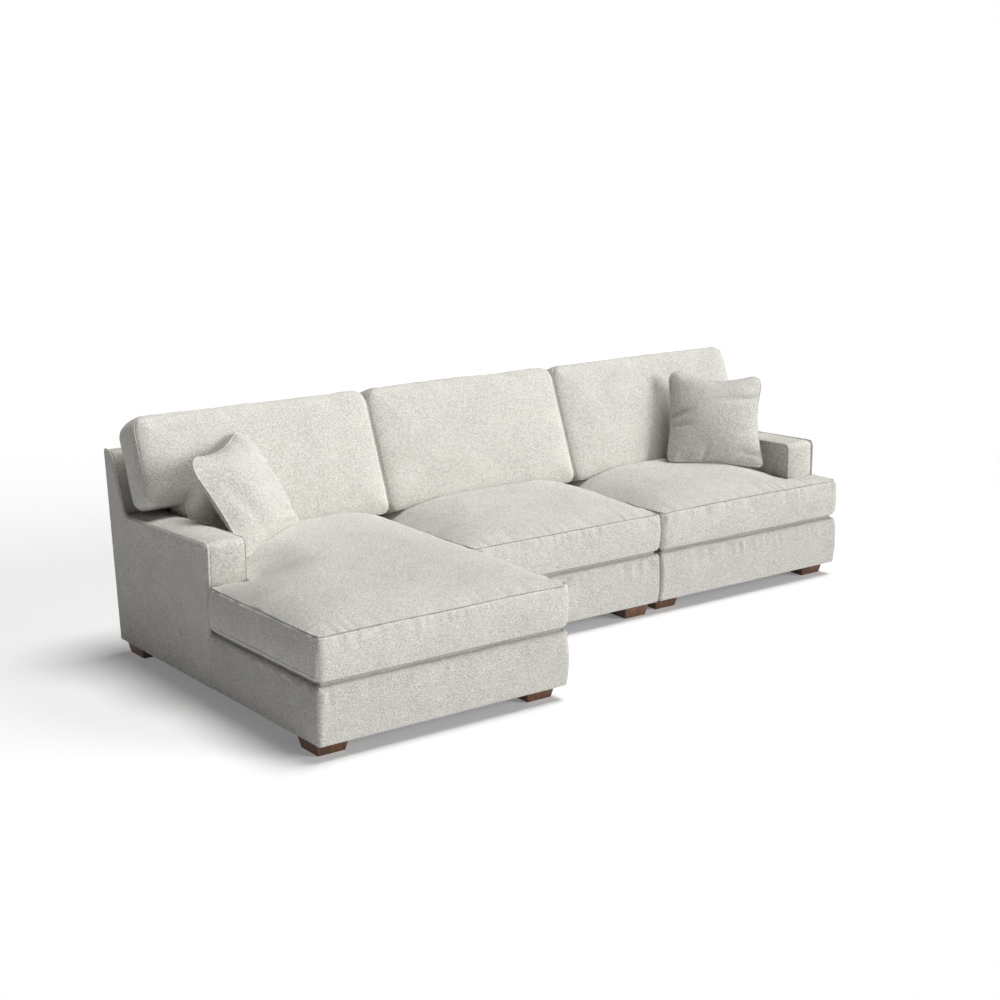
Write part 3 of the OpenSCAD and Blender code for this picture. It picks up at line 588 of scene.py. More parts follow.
def crown(d, reach):
    """The swell from several sides at once, without ridges where two of them meet."""
    return swell(d, reach).prod(0)


def touching(gap, reach=0.008):
    """1 on a plane, and 0 from the reach off it."""
    return np.clip(1 - np.abs(gap) / reach, 0, 1)


# Wavelengths of the gathers and of their stronger patches, and where they begin
GATHER_WAVES, GATHER_PATCH = (0.021, 0.047), 0.17
GATHER_START = 0.006


def gathers(form, reach, size, seed):
    """Short folds that run in from the seams."""
    total = 0
    for k, (d, s) in enumerate(zip(form.d, form.s)):
        ripple = (0.7 * noise1(s, GATHER_WAVES[0], seed + k)
                  + 0.5 * noise1(s, GATHER_WAVES[1], seed + 50 + k))
        gain = 0.5 + 0.5 * noise1(s, GATHER_PATCH, seed + 90 + k)
        ripple = ripple * (0.35 + gain) * np.exp(-((d / reach) ** 1.4))
        total = total + ripple * np.clip(d / GATHER_START, 0, 1)
    return size * total


# Wavelengths of a strip's folds at its high seam, its low seam and all over, and how far
# those at the seams reach
HIGH_WAVE, LOW_WAVE, SLOW_WAVE = 0.038, 0.046, 0.21
FOLD_REACH = 0.25


def strip_bulge(seed, size, ripple, low_reach=FOLD_REACH, power=3.4):
    """How a boxing strip stands out between its seams, with folds next to them."""

    def bulge(t, run):
        out = size * (1 - abs(2 * t - 1) ** power)
        out = out + ripple * noise1(run, HIGH_WAVE, seed) * fade(1 - t, FOLD_REACH)
        out = out + ripple * noise1(run, LOW_WAVE, seed + 7) * fade(t, low_reach)
        return out + 0.8 * ripple * noise1(run + 0.3 * t, SLOW_WAVE, seed + 3)

    return bulge


def puckers(t, run, seed, size, reach, wave, patch, least):
    """Folds below a strip's high seam: from their least share to the whole, in patches."""
    fold = noise1(run, wave, seed + 5) * (least + (1 - least) * noise1(run, patch, seed + 6))
    return size * fold * fade(1 - t, reach)


def level_list(height, step=0.014):
    """Places of the rows across a strip, closer near its seams."""
    count = max(3, round(height / step))
    even = np.linspace(0, 1, count + 1)
    near = min(0.004 / height, 0.12)
    return sorted({near, 1 - near, *np.clip(even[1:-1], near * 1.5, 1 - near * 1.5)})


# How far in front of the others the chaise's side stays tight, where the middle cushion
# slides out, and over which length a side tightens
SLIDE_ROOM, TIGHT_RAMP = 0.30, 0.05


def beside_next(section, y):
    """1 where a side lies beside the next section, and 0 in front of it."""
    start = SECTION_FRONT - (SLIDE_ROOM if section is CHAISE else 0)
    return np.clip((y - start) / TIGHT_RAMP, 0, 1)


# ---- Seat cushions ----

CUSHION_GAP = 0.0015
CUSHION_STEP = 0.010
SEAT_CORNER_R = 0.032

# The top climbs over a narrow edge and a wide crown, of which the front has only a share
SEAT_LIFT = 0.0026
SEAT_EDGE, SEAT_EDGE_REACH = 0.014, 0.12
SEAT_CROWN, SEAT_CROWN_REACH = 0.068, 0.30
FRONT_SHARE = 0.30
CROWN_Y = BACK_SEAM_Y - 0.010

SEAT_GATHERS = {"reach": 0.070, "size": 0.0056}
SEAT_PUCKERS = {"size": 0.0062, "reach": 0.28, "wave": 0.019, "patch": 0.12, "least": 0.55}
# Tuck of the low and high edge, stand of the lower seam and draw of the foot below it
SEAT_TUCK = (0.0022, 0.0050)
SEAT_FOOT, SEAT_FOOT_DRAW = 0.0050, 0.0065

# Rows of a seat's strip. The lower seam lies on one of them, above the round foot
FOOT_ROW = 4
SEAT_LEVELS = [0.02, 0.05, 0.08, 0.102, 0.125, 0.17, *(0.25 + 0.08 * k for k in range(9)),
               0.94, 0.974]
# Row, radius and cloth of each seam. The top seam's cloth is darker, painted shade of its groove
SEAT_SEAMS = {"top": (-1, 0.0022, SEAM_SHADE_CLOTH), "bottom": (FOOT_ROW, 0.0015, CLOTH)}


def seat_height(section, d, y):
    """Height of a seat's top at a depth, and at distances from its side and front edges.
    Behind its crown the seat gives way under the back cushion."""
    climb = swell(y - section.front, CROWN_Y - section.front)
    z = SEAT_SEAM + SEAT_LIFT + SEAT_EDGE * crown(d, SEAT_EDGE_REACH)
    z = z + SEAT_CROWN * crown(d, SEAT_CROWN_REACH) * (FRONT_SHARE + (1 - FRONT_SHARE) * climb)
    rest = BACK_SEAM_Z - CUSHION_GAP - (y - BACK_SEAM_Y) * math.tan(CUSHION_LEAN)
    pressed = ease(np.clip((y - CROWN_Y) / (BACK_SEAM_Y - CROWN_Y), 0, 1))
    return z + (np.minimum(z, rest) - z) * pressed


def seat_cushion(section, seed):
    x1 = section.w - CUSHION_GAP
    main_x, ear_rear = ARM_W + CUSHION_GAP, ARM_FRONT - CUSHION_GAP
    form = notched(section, (CUSHION_GAP, x1), (section.front, SEAT_REAR), (main_x, ear_rear),
                   SEAT_LEVELS, CUSHION_STEP, radii=SEAT_CORNER_R)
    rear_sides = form.sides_on(1, SEAT_REAR)
    others = [k for k in range(len(form.sides)) if k not in rear_sides]

    def high(f):
        d = f.d[others]
        z = seat_height(section, d, f.b) + gathers(f, seed=seed, **SEAT_GATHERS)
        z += 0.0028 * noise2(f.a, f.b, 0.23, seed + 11) * crown(d, SEAT_EDGE_REACH)
        return z + 0.0016 * noise1(f.a + f.b, 0.26, seed + 13) * (1 - crown(d, 0.03))

    def low(f):
        return SEAT_LOW + 0.0006 * noise1(f.a - f.b, 0.2, seed + 20)

    full = strip_bulge(seed, size=0.0080, ripple=0.0018, power=2.0)
    foot_t = SEAT_LEVELS[FOOT_ROW - 1]

    def boxing(t, run):
        """Round under the lower seam, which stands out, and full between the seams."""
        if t < foot_t:
            return SEAT_FOOT - SEAT_FOOT_DRAW * (1 - t / foot_t) ** 2 + 0 * run
        u = (t - foot_t) / (1 - foot_t)
        return SEAT_FOOT * (1 - u) + full(u, run) + puckers(u, run, seed, **SEAT_PUCKERS)

    def tight(a, b):
        """Where the cushion lies against the next one, an arm or the back."""
        if section.armed:
            left = (touching(a - main_x) * (b > ear_rear)
                    + touching(b - ear_rear) * (a < main_x))
        else:
            left = touching(a - CUSHION_GAP)
        return touching(a - x1) * beside_next(section, b) + left + touching(b - SEAT_REAR)

    form.mesh(low, high, boxing, section.place, tight, tuck=SEAT_TUCK)
    cover(section, "seat_cushion_cover", form, CLOTH, "seat_cushion", body="seat")
    for label, (row, radius, cloth) in SEAT_SEAMS.items():
        welt(f"{section.name}_seat_cushion_{label}_seam", form.seam(row), radius,
             section.name + "_seat", cloth, sides=6)


# ---- Back cushions ----

SLOPE = np.array(Matrix.Rotation(-CUSHION_LEAN, 3, "X"))
WELT_R = 0.0030
BACK_CORNER_R, BACK_LOW_CORNER_R = 0.062, 0.045
BACK_CROWN_REACH, BACK_GATHER_REACH = 0.27, 0.034
# Of each face: its edge's radius and height, the height of its crown, and its gathers' size
FRONT_FACE = {"radius": 0.055, "edge": 0.017, "top": 0.024, "size": 0.0024}
REAR_FACE = {"radius": 0.06, "edge": 0.018, "top": 0.034, "size": 0.0018}
BACK_TUCK = (0.001, 0.001)
# How deep the bottom edge sags, over which length at the ends, and how far up that shows
SAG, SAG_REACH, SAG_UP = 0.010, 0.22, 0.25


def on_slope(section):
    """From x, up the slope and square to it, into the sofa's frame."""

    def to_world(a, b, c):
        x, y, z = (np.stack([a, -c, b], 1) @ SLOPE.T).T
        return section.place(x, y + BACK_SEAM_Y, z + BACK_SEAM_Z)

    return to_world


def back_face(form, seed, radius, edge, top, size):
    """How far a back cushion's face stands out from its seam."""
    d = form.d.min(0)
    out = rise(d, radius, edge) + top * swell(d, BACK_CROWN_REACH)
    return out + gathers(form, BACK_GATHER_REACH, size, seed)


def back_cushion(section, seed):
    """z of the form runs from the rear seam (low) to the front seam (high)."""
    x1, main_x = section.w - CUSHION_GAP, ARM_W + 2 * CUSHION_GAP
    x0, low_x = (EAR_INSET, main_x) if section.armed else (CUSHION_GAP, CUSHION_GAP)
    form = notched(section, (x0, x1), (0, BACK_H), (main_x, EAR_NOTCH),
                   level_list(BACK_BOXING), CUSHION_STEP, at_top=False,
                   radii=lambda p: BACK_CORNER_R if p[1] > BACK_H / 2 else BACK_LOW_CORNER_R)

    # From main_x on, the bottom edge sags towards the ends, where the seat's crown falls away
    ends = np.minimum(form.a - low_x, x1 - form.a)
    sag = SAG * (1 - swell(np.clip(ends, 0, None), SAG_REACH)) * (form.a > main_x - MARGIN)
    form.b -= sag * np.clip(1 - form.b / SAG_UP, 0, 1)
    form.b += 0.0025 * noise1(form.a, 0.23, seed + 5) * np.clip(form.b / BACK_H, 0, 1) ** 3

    def front(f):
        hills = 0.0035 * noise2(f.a, f.b, 0.22, seed + 11) * swell(f.d.min(0), 0.12)
        return back_face(f, seed, **FRONT_FACE) + hills

    def rear(f):
        return -BACK_BOXING - back_face(f, seed + 30, **REAR_FACE)

    low_edge = form.b[form.ring] < BACK_H / 4

    def tight(a, _):
        """Where the cushion lies against the next one or on the seat."""
        left = 0 if section.armed else touching(a - CUSHION_GAP)
        return touching(a - x1) + left + low_edge * (a > main_x - MARGIN)

    bulge = strip_bulge(seed, size=0.0085, ripple=0.0022)
    form.mesh(rear, front, bulge, on_slope(section), tight, tuck=BACK_TUCK)
    # The back cushion wears the lighter copy of the linen: painted light
    cover(section, "back_cushion_cover", form, LIT_BACK_CLOTH, "back_cushion", body="back")
    for row, label in ((-1, "front"), (0, "rear")):
        welt(f"{section.name}_back_cushion_{label}_welt", form.seam(row), WELT_R,
             section.name + "_back", LIT_BACK_CLOTH)


# ---- Bases ----

BASE_EDGE, BASE_LOW_EDGE = 0.0175, 0.0125
BASE_STEP, BASE_ENDS = 0.009, (0.0, 0.0035, 0.0075)
BASE_PUCKERS = {"size": 0.0066, "reach": 0.24, "wave": 0.021, "patch": 0.13, "least": 0.6}
# How near to the next section's side a border lies tight
NEXT_REACH = 0.016

# Radius of an edge, with _R, and its depth
DECK_STEP, DECK_ENDS, DECK_CORNER_R = 0.05, (0.0, 0.004, 0.01), 0.012
DECK_EDGE_R, DECK_EDGE = 0.01, 0.004


def base_border(section, seed):
    """The padded border round a base, open at the back and beside an arm's outside panel."""
    b, w, front = BORDER, section.w, section.front
    arm_y = ARM_FRONT - FIT

    def cut(x, y):
        hollow = (x > b) & (x < w - b) & (y > front + b)
        if section.armed:
            hollow |= (x < b) & (y > arm_y)
        return hollow

    breaks_y = [front, front + b, *([arm_y] if section.armed else []), BASE_REAR]
    form = Form([0, b, w - b, w], breaks_y, BASE_STEP, level_list(BASE_TOP - BASE_LOW), cut=cut,
                ends=BASE_ENDS, radii=rounded(BASE_EDGE, (0, front), (w, front)))
    outer = form.sides_on(1, front) + form.sides_on(0, 0) + form.sides_on(0, w)
    edge = form.d[outer].min(0)

    def high(f):
        z = BASE_TOP - BASE_EDGE + rise(edge, BASE_EDGE, BASE_EDGE)
        z = z + 0.0014 * noise1(f.a + f.b, 0.024, seed)
        return z + 0.0012 * noise1(f.a + f.b, 0.23, seed + 1)

    def low(f):
        z = BASE_LOW + BASE_LOW_EDGE - rise(edge, BASE_LOW_EDGE, BASE_LOW_EDGE)
        return z + 0.0008 * noise1(f.a - f.b, 0.19, seed + 2)

    full = strip_bulge(seed, size=0.0080, ripple=0.0016, low_reach=0.12, power=2.0)

    def puckered(t, run):
        return full(t, run) + puckers(t, run, seed, **BASE_PUCKERS)

    def tight(x, y):
        """Where the border lies against the frame, the next section, a panel or the back."""
        beside = beside_next(section, y) if section is CHAISE else 1
        if section.armed:
            left = touching(y - ARM_FRONT) * (x < b + MARGIN)
        else:
            left = touching(x, NEXT_REACH)
        inside = (x > b - MARGIN) & (x < w - b + MARGIN) & (y > front + b - MARGIN)
        right = touching(x - w, NEXT_REACH) * beside
        return right + left + touching(y - BASE_REAR) + inside

    form.mesh(low, high, puckered, section.place, tight)
    # The border wears the darker copy of the linen: painted shade
    cover(section, "base_border", form, SHADED_BASE_CLOTH, "base_cover")


def deck_pad(section):
    low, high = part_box(section.name + "_deck")
    form = notched(section, (BORDER, section.w - BORDER), (section.front + BORDER, high[1]),
                   (ARM_W + FIT, ARM_FRONT), [0.5], DECK_STEP, ends=DECK_ENDS,
                   radii=DECK_CORNER_R)

    def top(f):
        return high[2] - DECK_EDGE + rise(f.d.min(0), DECK_EDGE_R, DECK_EDGE)

    form.mesh(level_face(low[2]), top, flat_strip, section.place)
    cover(section, "deck_pad", form, DECK_CLOTH, "deck")


# ---- Arms, outside panels and backs ----

ARM_STEP, ARM_CORNER_R = 0.016, 0.026
ARM_EDGE_R, ARM_EDGE = 0.012, 0.0035
PANEL_STEP, PANEL_CORNER_R = 0.013, 0.024
PANEL_EDGE_R, PANEL_EDGE = 0.009, 0.0055
PANEL_POST = 0.70
OUTSIDE_WELT_R, OUTSIDE_WELT_INSET = 0.0042, 0.004
BACK_STEP, BACK_PAD_T, BACK_ROLL_R = 0.016, 0.066, 0.030
BACK_SET_IN = 0.003
REAR_STEP, REAR_CORNER_R, REAR_EDGE = 0.03, 0.006, 0.0035


def side_frame(section, x_low):
    """From (y, z, x) of a form drawn in side view into the sofa's frame."""
    return lambda y, z, x: section.place(x + x_low, y, z)


def run_of(ring, keep):
    """The kept points of a closed ring in one run, from the first after a gap."""
    n = len(ring)
    start = next(k for k in range(n) if keep[k] and not keep[k - 1])
    order = [(start + k) % n for k in range(n)]
    return np.array([ring[k] for k in order if keep[k]])


def arm(section, seed):
    """The inside of an arm: top and front in one strip between the two side faces."""
    low_z = BASE_TOP + FIT
    y_back = back_face_y(arm_top_z(ARM_FRONT + ARM_REACH)) - FIT
    thick = ARM_W - BORDER - FIT
    form = Form([ARM_FRONT, y_back], [low_z, ARM_TOP], ARM_STEP, level_list(thick, 0.012),
                radii=rounded(ARM_CORNER_R, (ARM_FRONT, ARM_TOP)))
    front_and_top = form.sides_on(0, ARM_FRONT) + form.sides_on(1, ARM_TOP)
    reach = (form.a - ARM_FRONT) / (y_back - ARM_FRONT)
    form.b = low_z + (form.b - low_z) * (arm_top_z(form.a) - low_z) / (ARM_TOP - low_z)
    form.a = form.a + reach * (back_face_y(form.b) - back_face_y(arm_top_z(y_back)))

    def inner(f):
        edge = rise(f.d[front_and_top].min(0), ARM_EDGE_R, ARM_EDGE)
        return thick - ARM_EDGE + (edge + gathers(f, reach=0.026, size=0.0010, seed=seed))

    def bulge(t, run):
        off = abs(2 * t - 1)
        fold = 0.0022 * noise1(run, 0.034, seed) + 0.0016 * noise1(run, 0.075, seed + 1)
        strip = 0.0095 * (1 - off**3) - 0.0005
        return strip + fold * (0.35 + 0.65 * off) * (1 - off**8)

    form.mesh(level_face(0), inner, bulge, side_frame(section, BORDER + FIT))
    # The arm wears the lighter copy of the linen: painted light
    cover(section, "arm_pad", form, LIT_BACK_CLOTH, "arm_cover")
    ring = form.seam(-1)
    keep = (ring[:, 1] < back_face_y(ring[:, 2]) - 0.012) & (ring[:, 2] > low_z + 0.002)
    welt(section.name + "_arm_inner_welt", run_of(ring, keep), WELT_R, section.body, LIT_BACK_CLOTH,
         closed=False)


def outside_top(y):
    """Top line of the outside panel: along the arm, round the hollow and up the back post."""
    post_y = REAR_TOP_Y - BACK_TOP_DEPTH
    post = np.minimum(BACK_TOP - (post_y - y) / math.tan(BACK_PITCH), BACK_TOP)
    hollow = 0.007 * fade(y - ARM_FRONT - OUTSIDE_ARM_REACH, 0.018)
    shoulder = 0.016 * fade(y - post_y, 0.015)
    return np.maximum(arm_top_z(y), post) + hollow - shoulder


def outside_panel(section, seed):
    """The panel that covers base, arm and back from outside, in one piece."""
    length = REAR_TOP_Y - ARM_FRONT
    tall = ARM_TOP - BASE_LOW
    form = Form([0, PANEL_POST * length, length], [0, tall], PANEL_STEP, [0.25, 0.6, 0.85],
                ends=(0.0, 0.003, 0.007, 0.014), radii=rounded(PANEL_CORNER_R, (0, tall)))
    u, v = form.a / length, form.b / tall
    y_top = ARM_FRONT + form.a
    y_low = ARM_FRONT + u * (rear_face_y(BASE_LOW) - ARM_FRONT)
    form.b = BASE_LOW + v * (outside_top(y_top) - BASE_LOW)
    form.a = y_low * (1 - v) + y_top * v
    rear = u > 0.999
    form.a[rear] = rear_face_y(form.b[rear])

    def outer(f):
        d = f.d.min(0)
        z = PANEL_EDGE - rise(d, PANEL_EDGE_R, PANEL_EDGE)
        z -= 0.0016 * noise2(f.a, f.b, 0.22, seed) * swell(d, 0.06)
        return z + gathers(f, reach=0.02, size=0.0006, seed=seed + 4)

    form.mesh(outer, level_face(BORDER), flat_strip, side_frame(section, 0))
    cover(section, "outside_panel", form, CLOTH, "side_panel")
    ring = form.seam(0)
    keep = ring[:, 2] > BASE_LOW + 0.004
    inset = ring + (section.side * OUTSIDE_WELT_INSET, 0, 0)
    welt(section.name + "_outside_welt", run_of(inset, keep), OUTSIDE_WELT_R, section.body,
         CLOTH, closed=False)


def back(section, seed):
    """The padded inside back with its top roll."""
    x0 = BORDER + FIT if section.armed else 0.0
    long = section.w - x0
    low = BASE_TOP + FIT
    tall = BACK_TOP - low
    form = Form([0, BACK_PAD_T], [0, tall], BACK_STEP, level_list(long, 0.03),
                ends=(0.0, 0.004, 0.010, 0.018), radii=rounded(BACK_ROLL_R, (0, tall)))
    u = form.a / BACK_PAD_T
    form.b = low + form.b
    form.b -= 0.003 * np.clip((form.b - low) / tall, 0, 1)
    face = back_face_y(form.b) + BACK_SET_IN
    # Below the roll's rear edge, the pad leaves room for the outside back
    room = (OUTSIDE_BACK_T + FIT) * (form.b < BACK_TOP - OUTSIDE_BACK_T - FIT - SAME)
    form.a = face * (1 - u) + (rear_face_y(form.b) - BACK_SET_IN - room) * u

    def bulge(t, run):
        ends = min(t, 1 - t) * long
        fill = 1 - (1 - min(ends / 0.018, 1)) ** 2
        return 0.0022 * fill + 0.0008 * noise1(run + 7 * t, 0.18, seed) * fill

    form.mesh(level_face(0), level_face(long), bulge, side_frame(section, x0))
    cover(section, "back_pad", form, CLOTH, "back_cover")
    outside_back(section, x0, seed)


def outside_back(section, x0, seed):
    """The plain panel behind the back, from the base up to under the top roll."""
    high = BACK_TOP - OUTSIDE_BACK_T - FIT
    form = Form([x0, section.w], [0, high - BASE_LOW], REAR_STEP, [0.3, 0.7],
                ends=(0.0, 0.003, 0.008, 0.016), radii=REAR_CORNER_R)

    def to_world(x, rise_z, out):
        z = BASE_LOW + rise_z
        return section.place(x, rear_face_y(z) - OUTSIDE_BACK_T + out, z)

    def outer(f):
        z = OUTSIDE_BACK_T - REAR_EDGE + rise(f.d.min(0), 0.010, REAR_EDGE)
        return z - 0.0008 * (1 + noise2(f.a, f.b, 0.25, seed))

    form.mesh(level_face(0), outer, flat_strip, to_world)
    obj = piece(section.name + "_outside_back_panel", form.points, form.faces, section.body,
                CLOTH)
    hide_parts(section.name + "_outside_back")


# ---- Feet ----

FOOT_TOP, FOOT_BOTTOM = 0.138, 0.113
FOOT_CORNER_R, CORNER_POINTS = 0.003, 4


def foot(name, x, y, body):
    """A tapered block with eased edges: rings of a rounded square, drawn in at both ends."""
    tall = BASE_LOW - FIT
    # Height of each ring, and how far it stands out
    rows = ((0.0, -0.0018), (0.0016, 0.0), (0.012, 0.0), (0.028, 0.0),
            (tall - 0.008, 0.0), (tall - 0.001, 0.0), (tall, -0.001))
    r, points = FOOT_CORNER_R, []
    for z, out in rows:
        half = (FOOT_BOTTOM + (FOOT_TOP - FOOT_BOTTOM) * z / tall) / 2 + out
        for corner in range(4):
            cx = (half - r) * (1 if corner in (0, 3) else -1)
            cy = (half - r) * (1 if corner in (0, 1) else -1)
            for k in range(CORNER_POINTS):
                angle = math.pi / 2 * (corner + k / (CORNER_POINTS - 1))
                points.append((x + cx + r * math.cos(angle), y + cy + r * math.sin(angle), z))
    faces = ring_faces(len(rows), 4 * CORNER_POINTS)
    return piece(name, points, faces, body, FOOT_WOOD, smooth=False, subdivide=0)


def feet(section):
    low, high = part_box(section.name + "_feet")
    half = FOOT_TOP / 2
    for i, x in enumerate((low[0] + half, high[0] - half)):
        for j, y in enumerate((low[1] + half, high[1] - half)):
            obj = foot(f"{section.name}_foot_{2 * i + j + 1}", x, y, section.body)
            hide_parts(section.name + "_feet")


# ---- Throw pillows ----

PILLOW_SIDE = 0.452
PILLOW_HALF_T = 0.076
PILLOW_GRID = 56
PIPING_R = 0.0038
FILLING_SHARE = 0.93
# How much the grid crowds towards the edges, and powers of the drawn edges and the skins
CROWDING = 0.92
DRAW_POWER = 1.6
PLUMP_POWER = 0.58
# Pleats along the edges and folds from the corners: height, then shares of half the side
PLEAT, PLEAT_WAVE, PLEAT_REACH = 0.0042, 0.085, 0.16
CORNER_FOLD, CORNER_FOLD_W = 0.0035, 0.10


def pillow_plan(u, v, draws, corners):
    """x and y of a pillow's grid, with rounded corners and drawn edges."""
    half = PILLOW_SIDE / 2
    # Each corner's square is mapped onto a quarter disc
    r = np.where(v < 0, *corners)
    flat = half - r
    cu = np.clip((np.abs(u) * half - flat) / r, 0, None)
    cv = np.clip((np.abs(v) * half - flat) / r, 0, None)
    corner = (cu > 0) & (cv > 0)
    x = np.where(corner, np.sign(u) * (flat + r * cu * np.sqrt(1 - cv * cv / 2)), u * half)
    y = np.where(corner, np.sign(v) * (flat + r * cv * np.sqrt(1 - cu * cu / 2)), v * half)
    left, right, bottom, top = draws
    x = x * (1 - np.where(u < 0, left, right) * u * u * (1 - v * v) ** DRAW_POWER)
    y = y * (1 - np.where(v < 0, bottom, top) * v * v * (1 - u * u) ** DRAW_POWER)
    return x, y


def pillow_skin(u, v, seed, front=None, creases=()):
    """How far a skin stands off the plan: plump, with pleats, corner folds and creases."""
    plump = (np.clip(1 - u * u, 0, 1) * np.clip(1 - v * v, 0, 1)) ** PLUMP_POWER
    h = PILLOW_HALF_T * plump * (1 + 0.05 * noise2(u + 1, v + 1, 0.55, seed))
    if front:
        h = front[0] * h * np.where(u < 0, np.clip(1 - u * u, 0, 1) ** front[1], 1)
    pleat = noise1(v, PLEAT_WAVE, seed + 1) * fade(1 - np.abs(u), PLEAT_REACH)
    pleat = pleat + noise1(u, PLEAT_WAVE, seed + 2) * fade(1 - np.abs(v), PLEAT_REACH)
    h = h + PLEAT * pleat * plump**0.5
    diagonal = fade(np.abs(np.abs(u) - np.abs(v)), CORNER_FOLD_W)
    h = h + CORNER_FOLD * diagonal * np.clip(u * u + v * v - 0.5, 0, 1) * plump**0.3
    for u0, v0, u1, v1, depth, width in creases:
        long = (u1 - u0) ** 2 + (v1 - v0) ** 2
        along = np.clip(((u - u0) * (u1 - u0) + (v - v0) * (v1 - v0)) / long, 0, 1)
        off = np.hypot(u - u0 - along * (u1 - u0), v - v0 - along * (v1 - v0))
        h = h - depth * (1 - along**2) * fade(off, width) * plump**0.4
    return h


def pillow_shell(draws, corners, front, creases, seed):
    """Two plump skins that meet at the corded edge: points, faces, edge ring."""
    n = PILLOW_GRID
    quarter = math.pi / 2 * CROWDING
    t = np.sin(np.linspace(-1, 1, n + 1) * quarter) / math.sin(quarter)
    u, v = np.meshgrid(t, t, indexing="ij")
    x, y = pillow_plan(u, v, draws, corners)
    inner = (np.abs(u) < 0.999) & (np.abs(v) < 0.999)
    h_front = np.where(inner, -pillow_skin(u, v, seed, front, creases), 0)
    h_rear = pillow_skin(u, v, seed + 10)
    points = np.concatenate([np.stack([x, h_front, y], -1).reshape(-1, 3),
                             np.stack([x, h_rear, y], -1)[inner]])
    near = np.arange(u.size).reshape(u.shape)
    far = near.copy()
    far[inner] = np.arange(u.size, len(points))
    faces = []
    for i in range(n):
        for j in range(n):
            a, b, c, d = ((i, j), (i + 1, j), (i + 1, j + 1), (i, j + 1))
            faces += [[near[k] for k in (a, b, c, d)], [far[k] for k in (a, d, c, b)]]
    ring = [*near[:n, 0], *near[n, :n], *near[n:0:-1, n], *near[0, n:0:-1]]
    return points, faces, ring


def throw_pillow(side, centre, turn, lean, roll, draws, corners, front, creases, seed):
    """A knife-edge pillow with a corded edge, on its centre and turned by three angles.

    draws is how far the left, right, bottom and top edge are drawn in at their middles, as
    shares of half the side. corners is the radius of the two low and of the two high
    corners. front is how full the front skin is, and how steeply it falls to the left edge.
    creases lists folds in the front as (u, v) at the edge, (u, v) where they end, depth and
    width, with u and v from -1 to 1 across the pillow."""
    points, faces, ring = pillow_shell(draws, corners, front, creases, seed)
    turned = Matrix.Identity(3)
    for angle, axis in ((turn, "Z"), (-lean, "X"), (-roll, "Y")):
        turned = turned @ Matrix.Rotation(math.radians(angle), 3, axis)
    turned = np.array(turned).T
    placed = points @ turned + centre
    body, name, slot = side + "_pillow", side + "_throw_pillow", "pillow_fabric"
    outside = piece(name + "_cover", placed, faces, body, PILLOW_CLOTH)
    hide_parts(name)
    welt(name + "_piping", placed[ring], PIPING_R, body, PILLOW_CLOTH)
    filling = piece(name + "_filling", (points * FILLING_SHARE) @ turned + centre, faces, body,
                    FOAM, subdivide=0)
    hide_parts(side + "_pillow_insert")


# ---- Build ----

for number, section in enumerate((CHAISE, MIDDLE, RIGHT)):
    seed = 100 * (number + 1)
    base_border(section, seed)
    deck_pad(section)
    seat_cushion(section, seed + 10)
    back_cushion(section, seed + 20)
    back(section, seed + 30)
    feet(section)
    if section.armed:
        arm(section, seed + 40)
        outside_panel(section, seed + 50)

# Pillows are placed from the sofa's front left corner on the floor
CORNER = np.array((CHAISE.x0, CHAISE.front, 0))
throw_pillow(
    "left", CORNER + (0.366, 1.134, 0.702), turn=29.2, lean=31.1, roll=6.9,
    draws=(0.08, 0.02, 0.04, 0.17), corners=(0.030, 0.095), front=(1.2, 0.6), seed=901,
    creases=((-0.60, 0.20, -0.35, -0.90, 0.012, 0.16), (0.42, 1.0, 0.25, 0.50, 0.016, 0.13),
             (0.98, -0.78, 0.20, -0.60, 0.010, 0.05), (0.98, -0.93, 0.15, -0.86, 0.010, 0.04)))
throw_pillow(
    "right", CORNER + (2.860, 1.070, 0.724), turn=-30.6, lean=27.8, roll=-5.1,
    draws=(0.06, 0.12, 0.03, 0.19), corners=(0.024, 0.062), front=(1.0, 0.0), seed=902,
    creases=((0.98, 0.46, -0.10, 0.30, 0.017, 0.07), (-0.98, -0.10, -0.52, 0.08, 0.014, 0.055),
             (-0.98, -0.28, -0.48, -0.24, 0.013, 0.05),
             (-0.30, -0.95, -0.18, -0.66, 0.011, 0.05),
             (0.95, -0.79, 0.36, -0.76, 0.013, 0.06), (0.95, -0.17, 0.42, -0.42, 0.013, 0.08)))

# ---- Floor, light and camera ----

WHITE = (1, 1, 1, 1)
FLOOR_TONE = (0.84, 0.84, 0.84, 1)
FLOOR_HALF = 40.0
# The floor glows for the eye, more with its distance from the sofa
GLOW = {"From_Min": 4.5, "From_Max": 9.0, "To_Min": 0.19, "To_Max": 0.5}


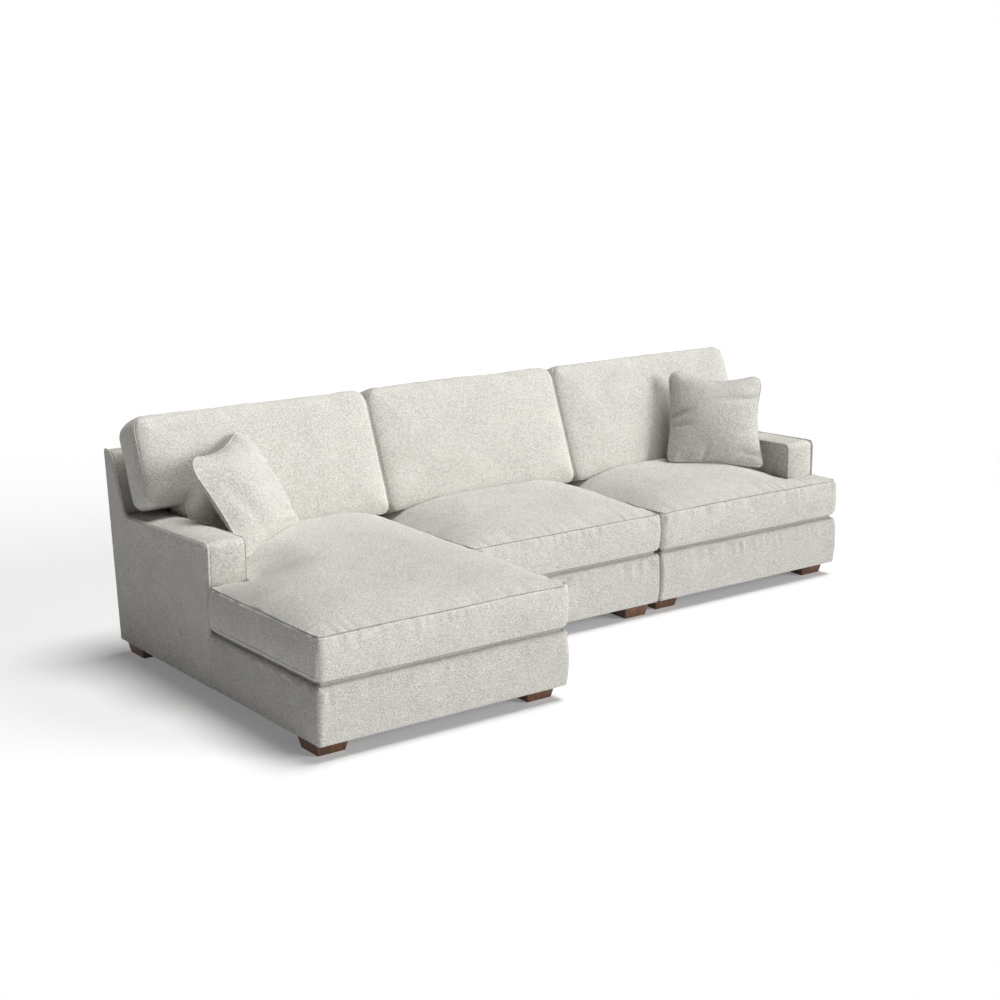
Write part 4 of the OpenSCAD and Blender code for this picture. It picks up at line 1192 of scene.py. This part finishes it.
def floor():
    """A pale floor that shows white where it is lit and keeps the sofa's shadow."""
    data = bpy.data.meshes.new("floor")
    h = FLOOR_HALF
    data.from_pydata([(-h, -h, 0), (h, -h, 0), (h, h, 0), (-h, h, 0)], [], [(0, 1, 2, 3)])
    n = Surface("white_floor")
    n.fill(n.shader, Base_Color=FLOOR_TONE, Roughness=0.9, Specular_IOR_Level=0.0)
    glow = n.add("ShaderNodeEmission", Color=WHITE)
    seen = n.seen()
    away = n.add("ShaderNodeVectorMath")
    away.operation = "LENGTH"
    n.give(away.inputs[0], n.place)
    far = n.add("ShaderNodeMapRange", Value=away.outputs["Value"], **GLOW)
    far.interpolation_type = "SMOOTHSTEP"
    n.fill(glow, Strength=n.math("MULTIPLY", seen, far.outputs[0]))
    both = n.add("ShaderNodeAddShader")
    for socket, node in zip(both.inputs, (n.shader, glow)):
        n.give(socket, node.outputs[0])
    n.give(n.tree.nodes["Material Output"].inputs[0], both.outputs[0])
    data.materials.append(n.mat)
    add_object("floor", data)


def studio(level):
    """White all round: at full strength for the eye, and at the given level as light."""
    world = bpy.data.worlds.new("studio")
    bpy.context.scene.world = world
    world.use_nodes = True
    n = Nodes(world.node_tree)
    strength = n.add("ShaderNodeMapRange", Value=n.seen(), To_Min=level, To_Max=1.0)
    n.fill(n.tree.nodes["Background"], Color=WHITE, Strength=strength.outputs[0])


def aim(obj, turn, climb):
    """Points the camera or a light: turned from the rear towards the right, and upwards."""
    level = math.cos(climb)
    way = Vector((math.sin(turn) * level, math.cos(turn) * level, math.sin(climb)))
    obj.rotation_euler = way.to_track_quat("-Z", "Y").to_euler()


def far_light(name, turn, height, spread, strength):
    """A broad light far away, turned from the front towards the right and at a height, both
    in degrees, as is its spread."""
    data = bpy.data.lights.new(name, "SUN")
    data.energy, data.angle = strength, math.radians(spread)
    aim(add_object(name, data), -math.radians(turn), -math.radians(height))


floor()
studio(0.03)
far_light("key", turn=38, height=14, spread=28, strength=2.45)
far_light("top", turn=75, height=74, spread=30, strength=2.42)

# Where the photograph was taken from: fitted place, pitch down and yaw to the right
CAMERA_PLACE = (-4.6377, -5.8621, 2.3247)
CAMERA_PITCH, CAMERA_YAW = 0.23295, 0.64556
CAMERA_LENS, SENSOR, CAMERA_FAR = 65.18, 36.0, 200
camera_data = bpy.data.cameras.new("camera")
camera_data.lens, camera_data.sensor_width = CAMERA_LENS, SENSOR
camera_data.clip_end = CAMERA_FAR
camera = add_object("camera", camera_data)
camera.location = CAMERA_PLACE
aim(camera, CAMERA_YAW, -CAMERA_PITCH)
bpy.context.scene.camera = camera
bpy.context.scene.view_settings.view_transform = "Standard"
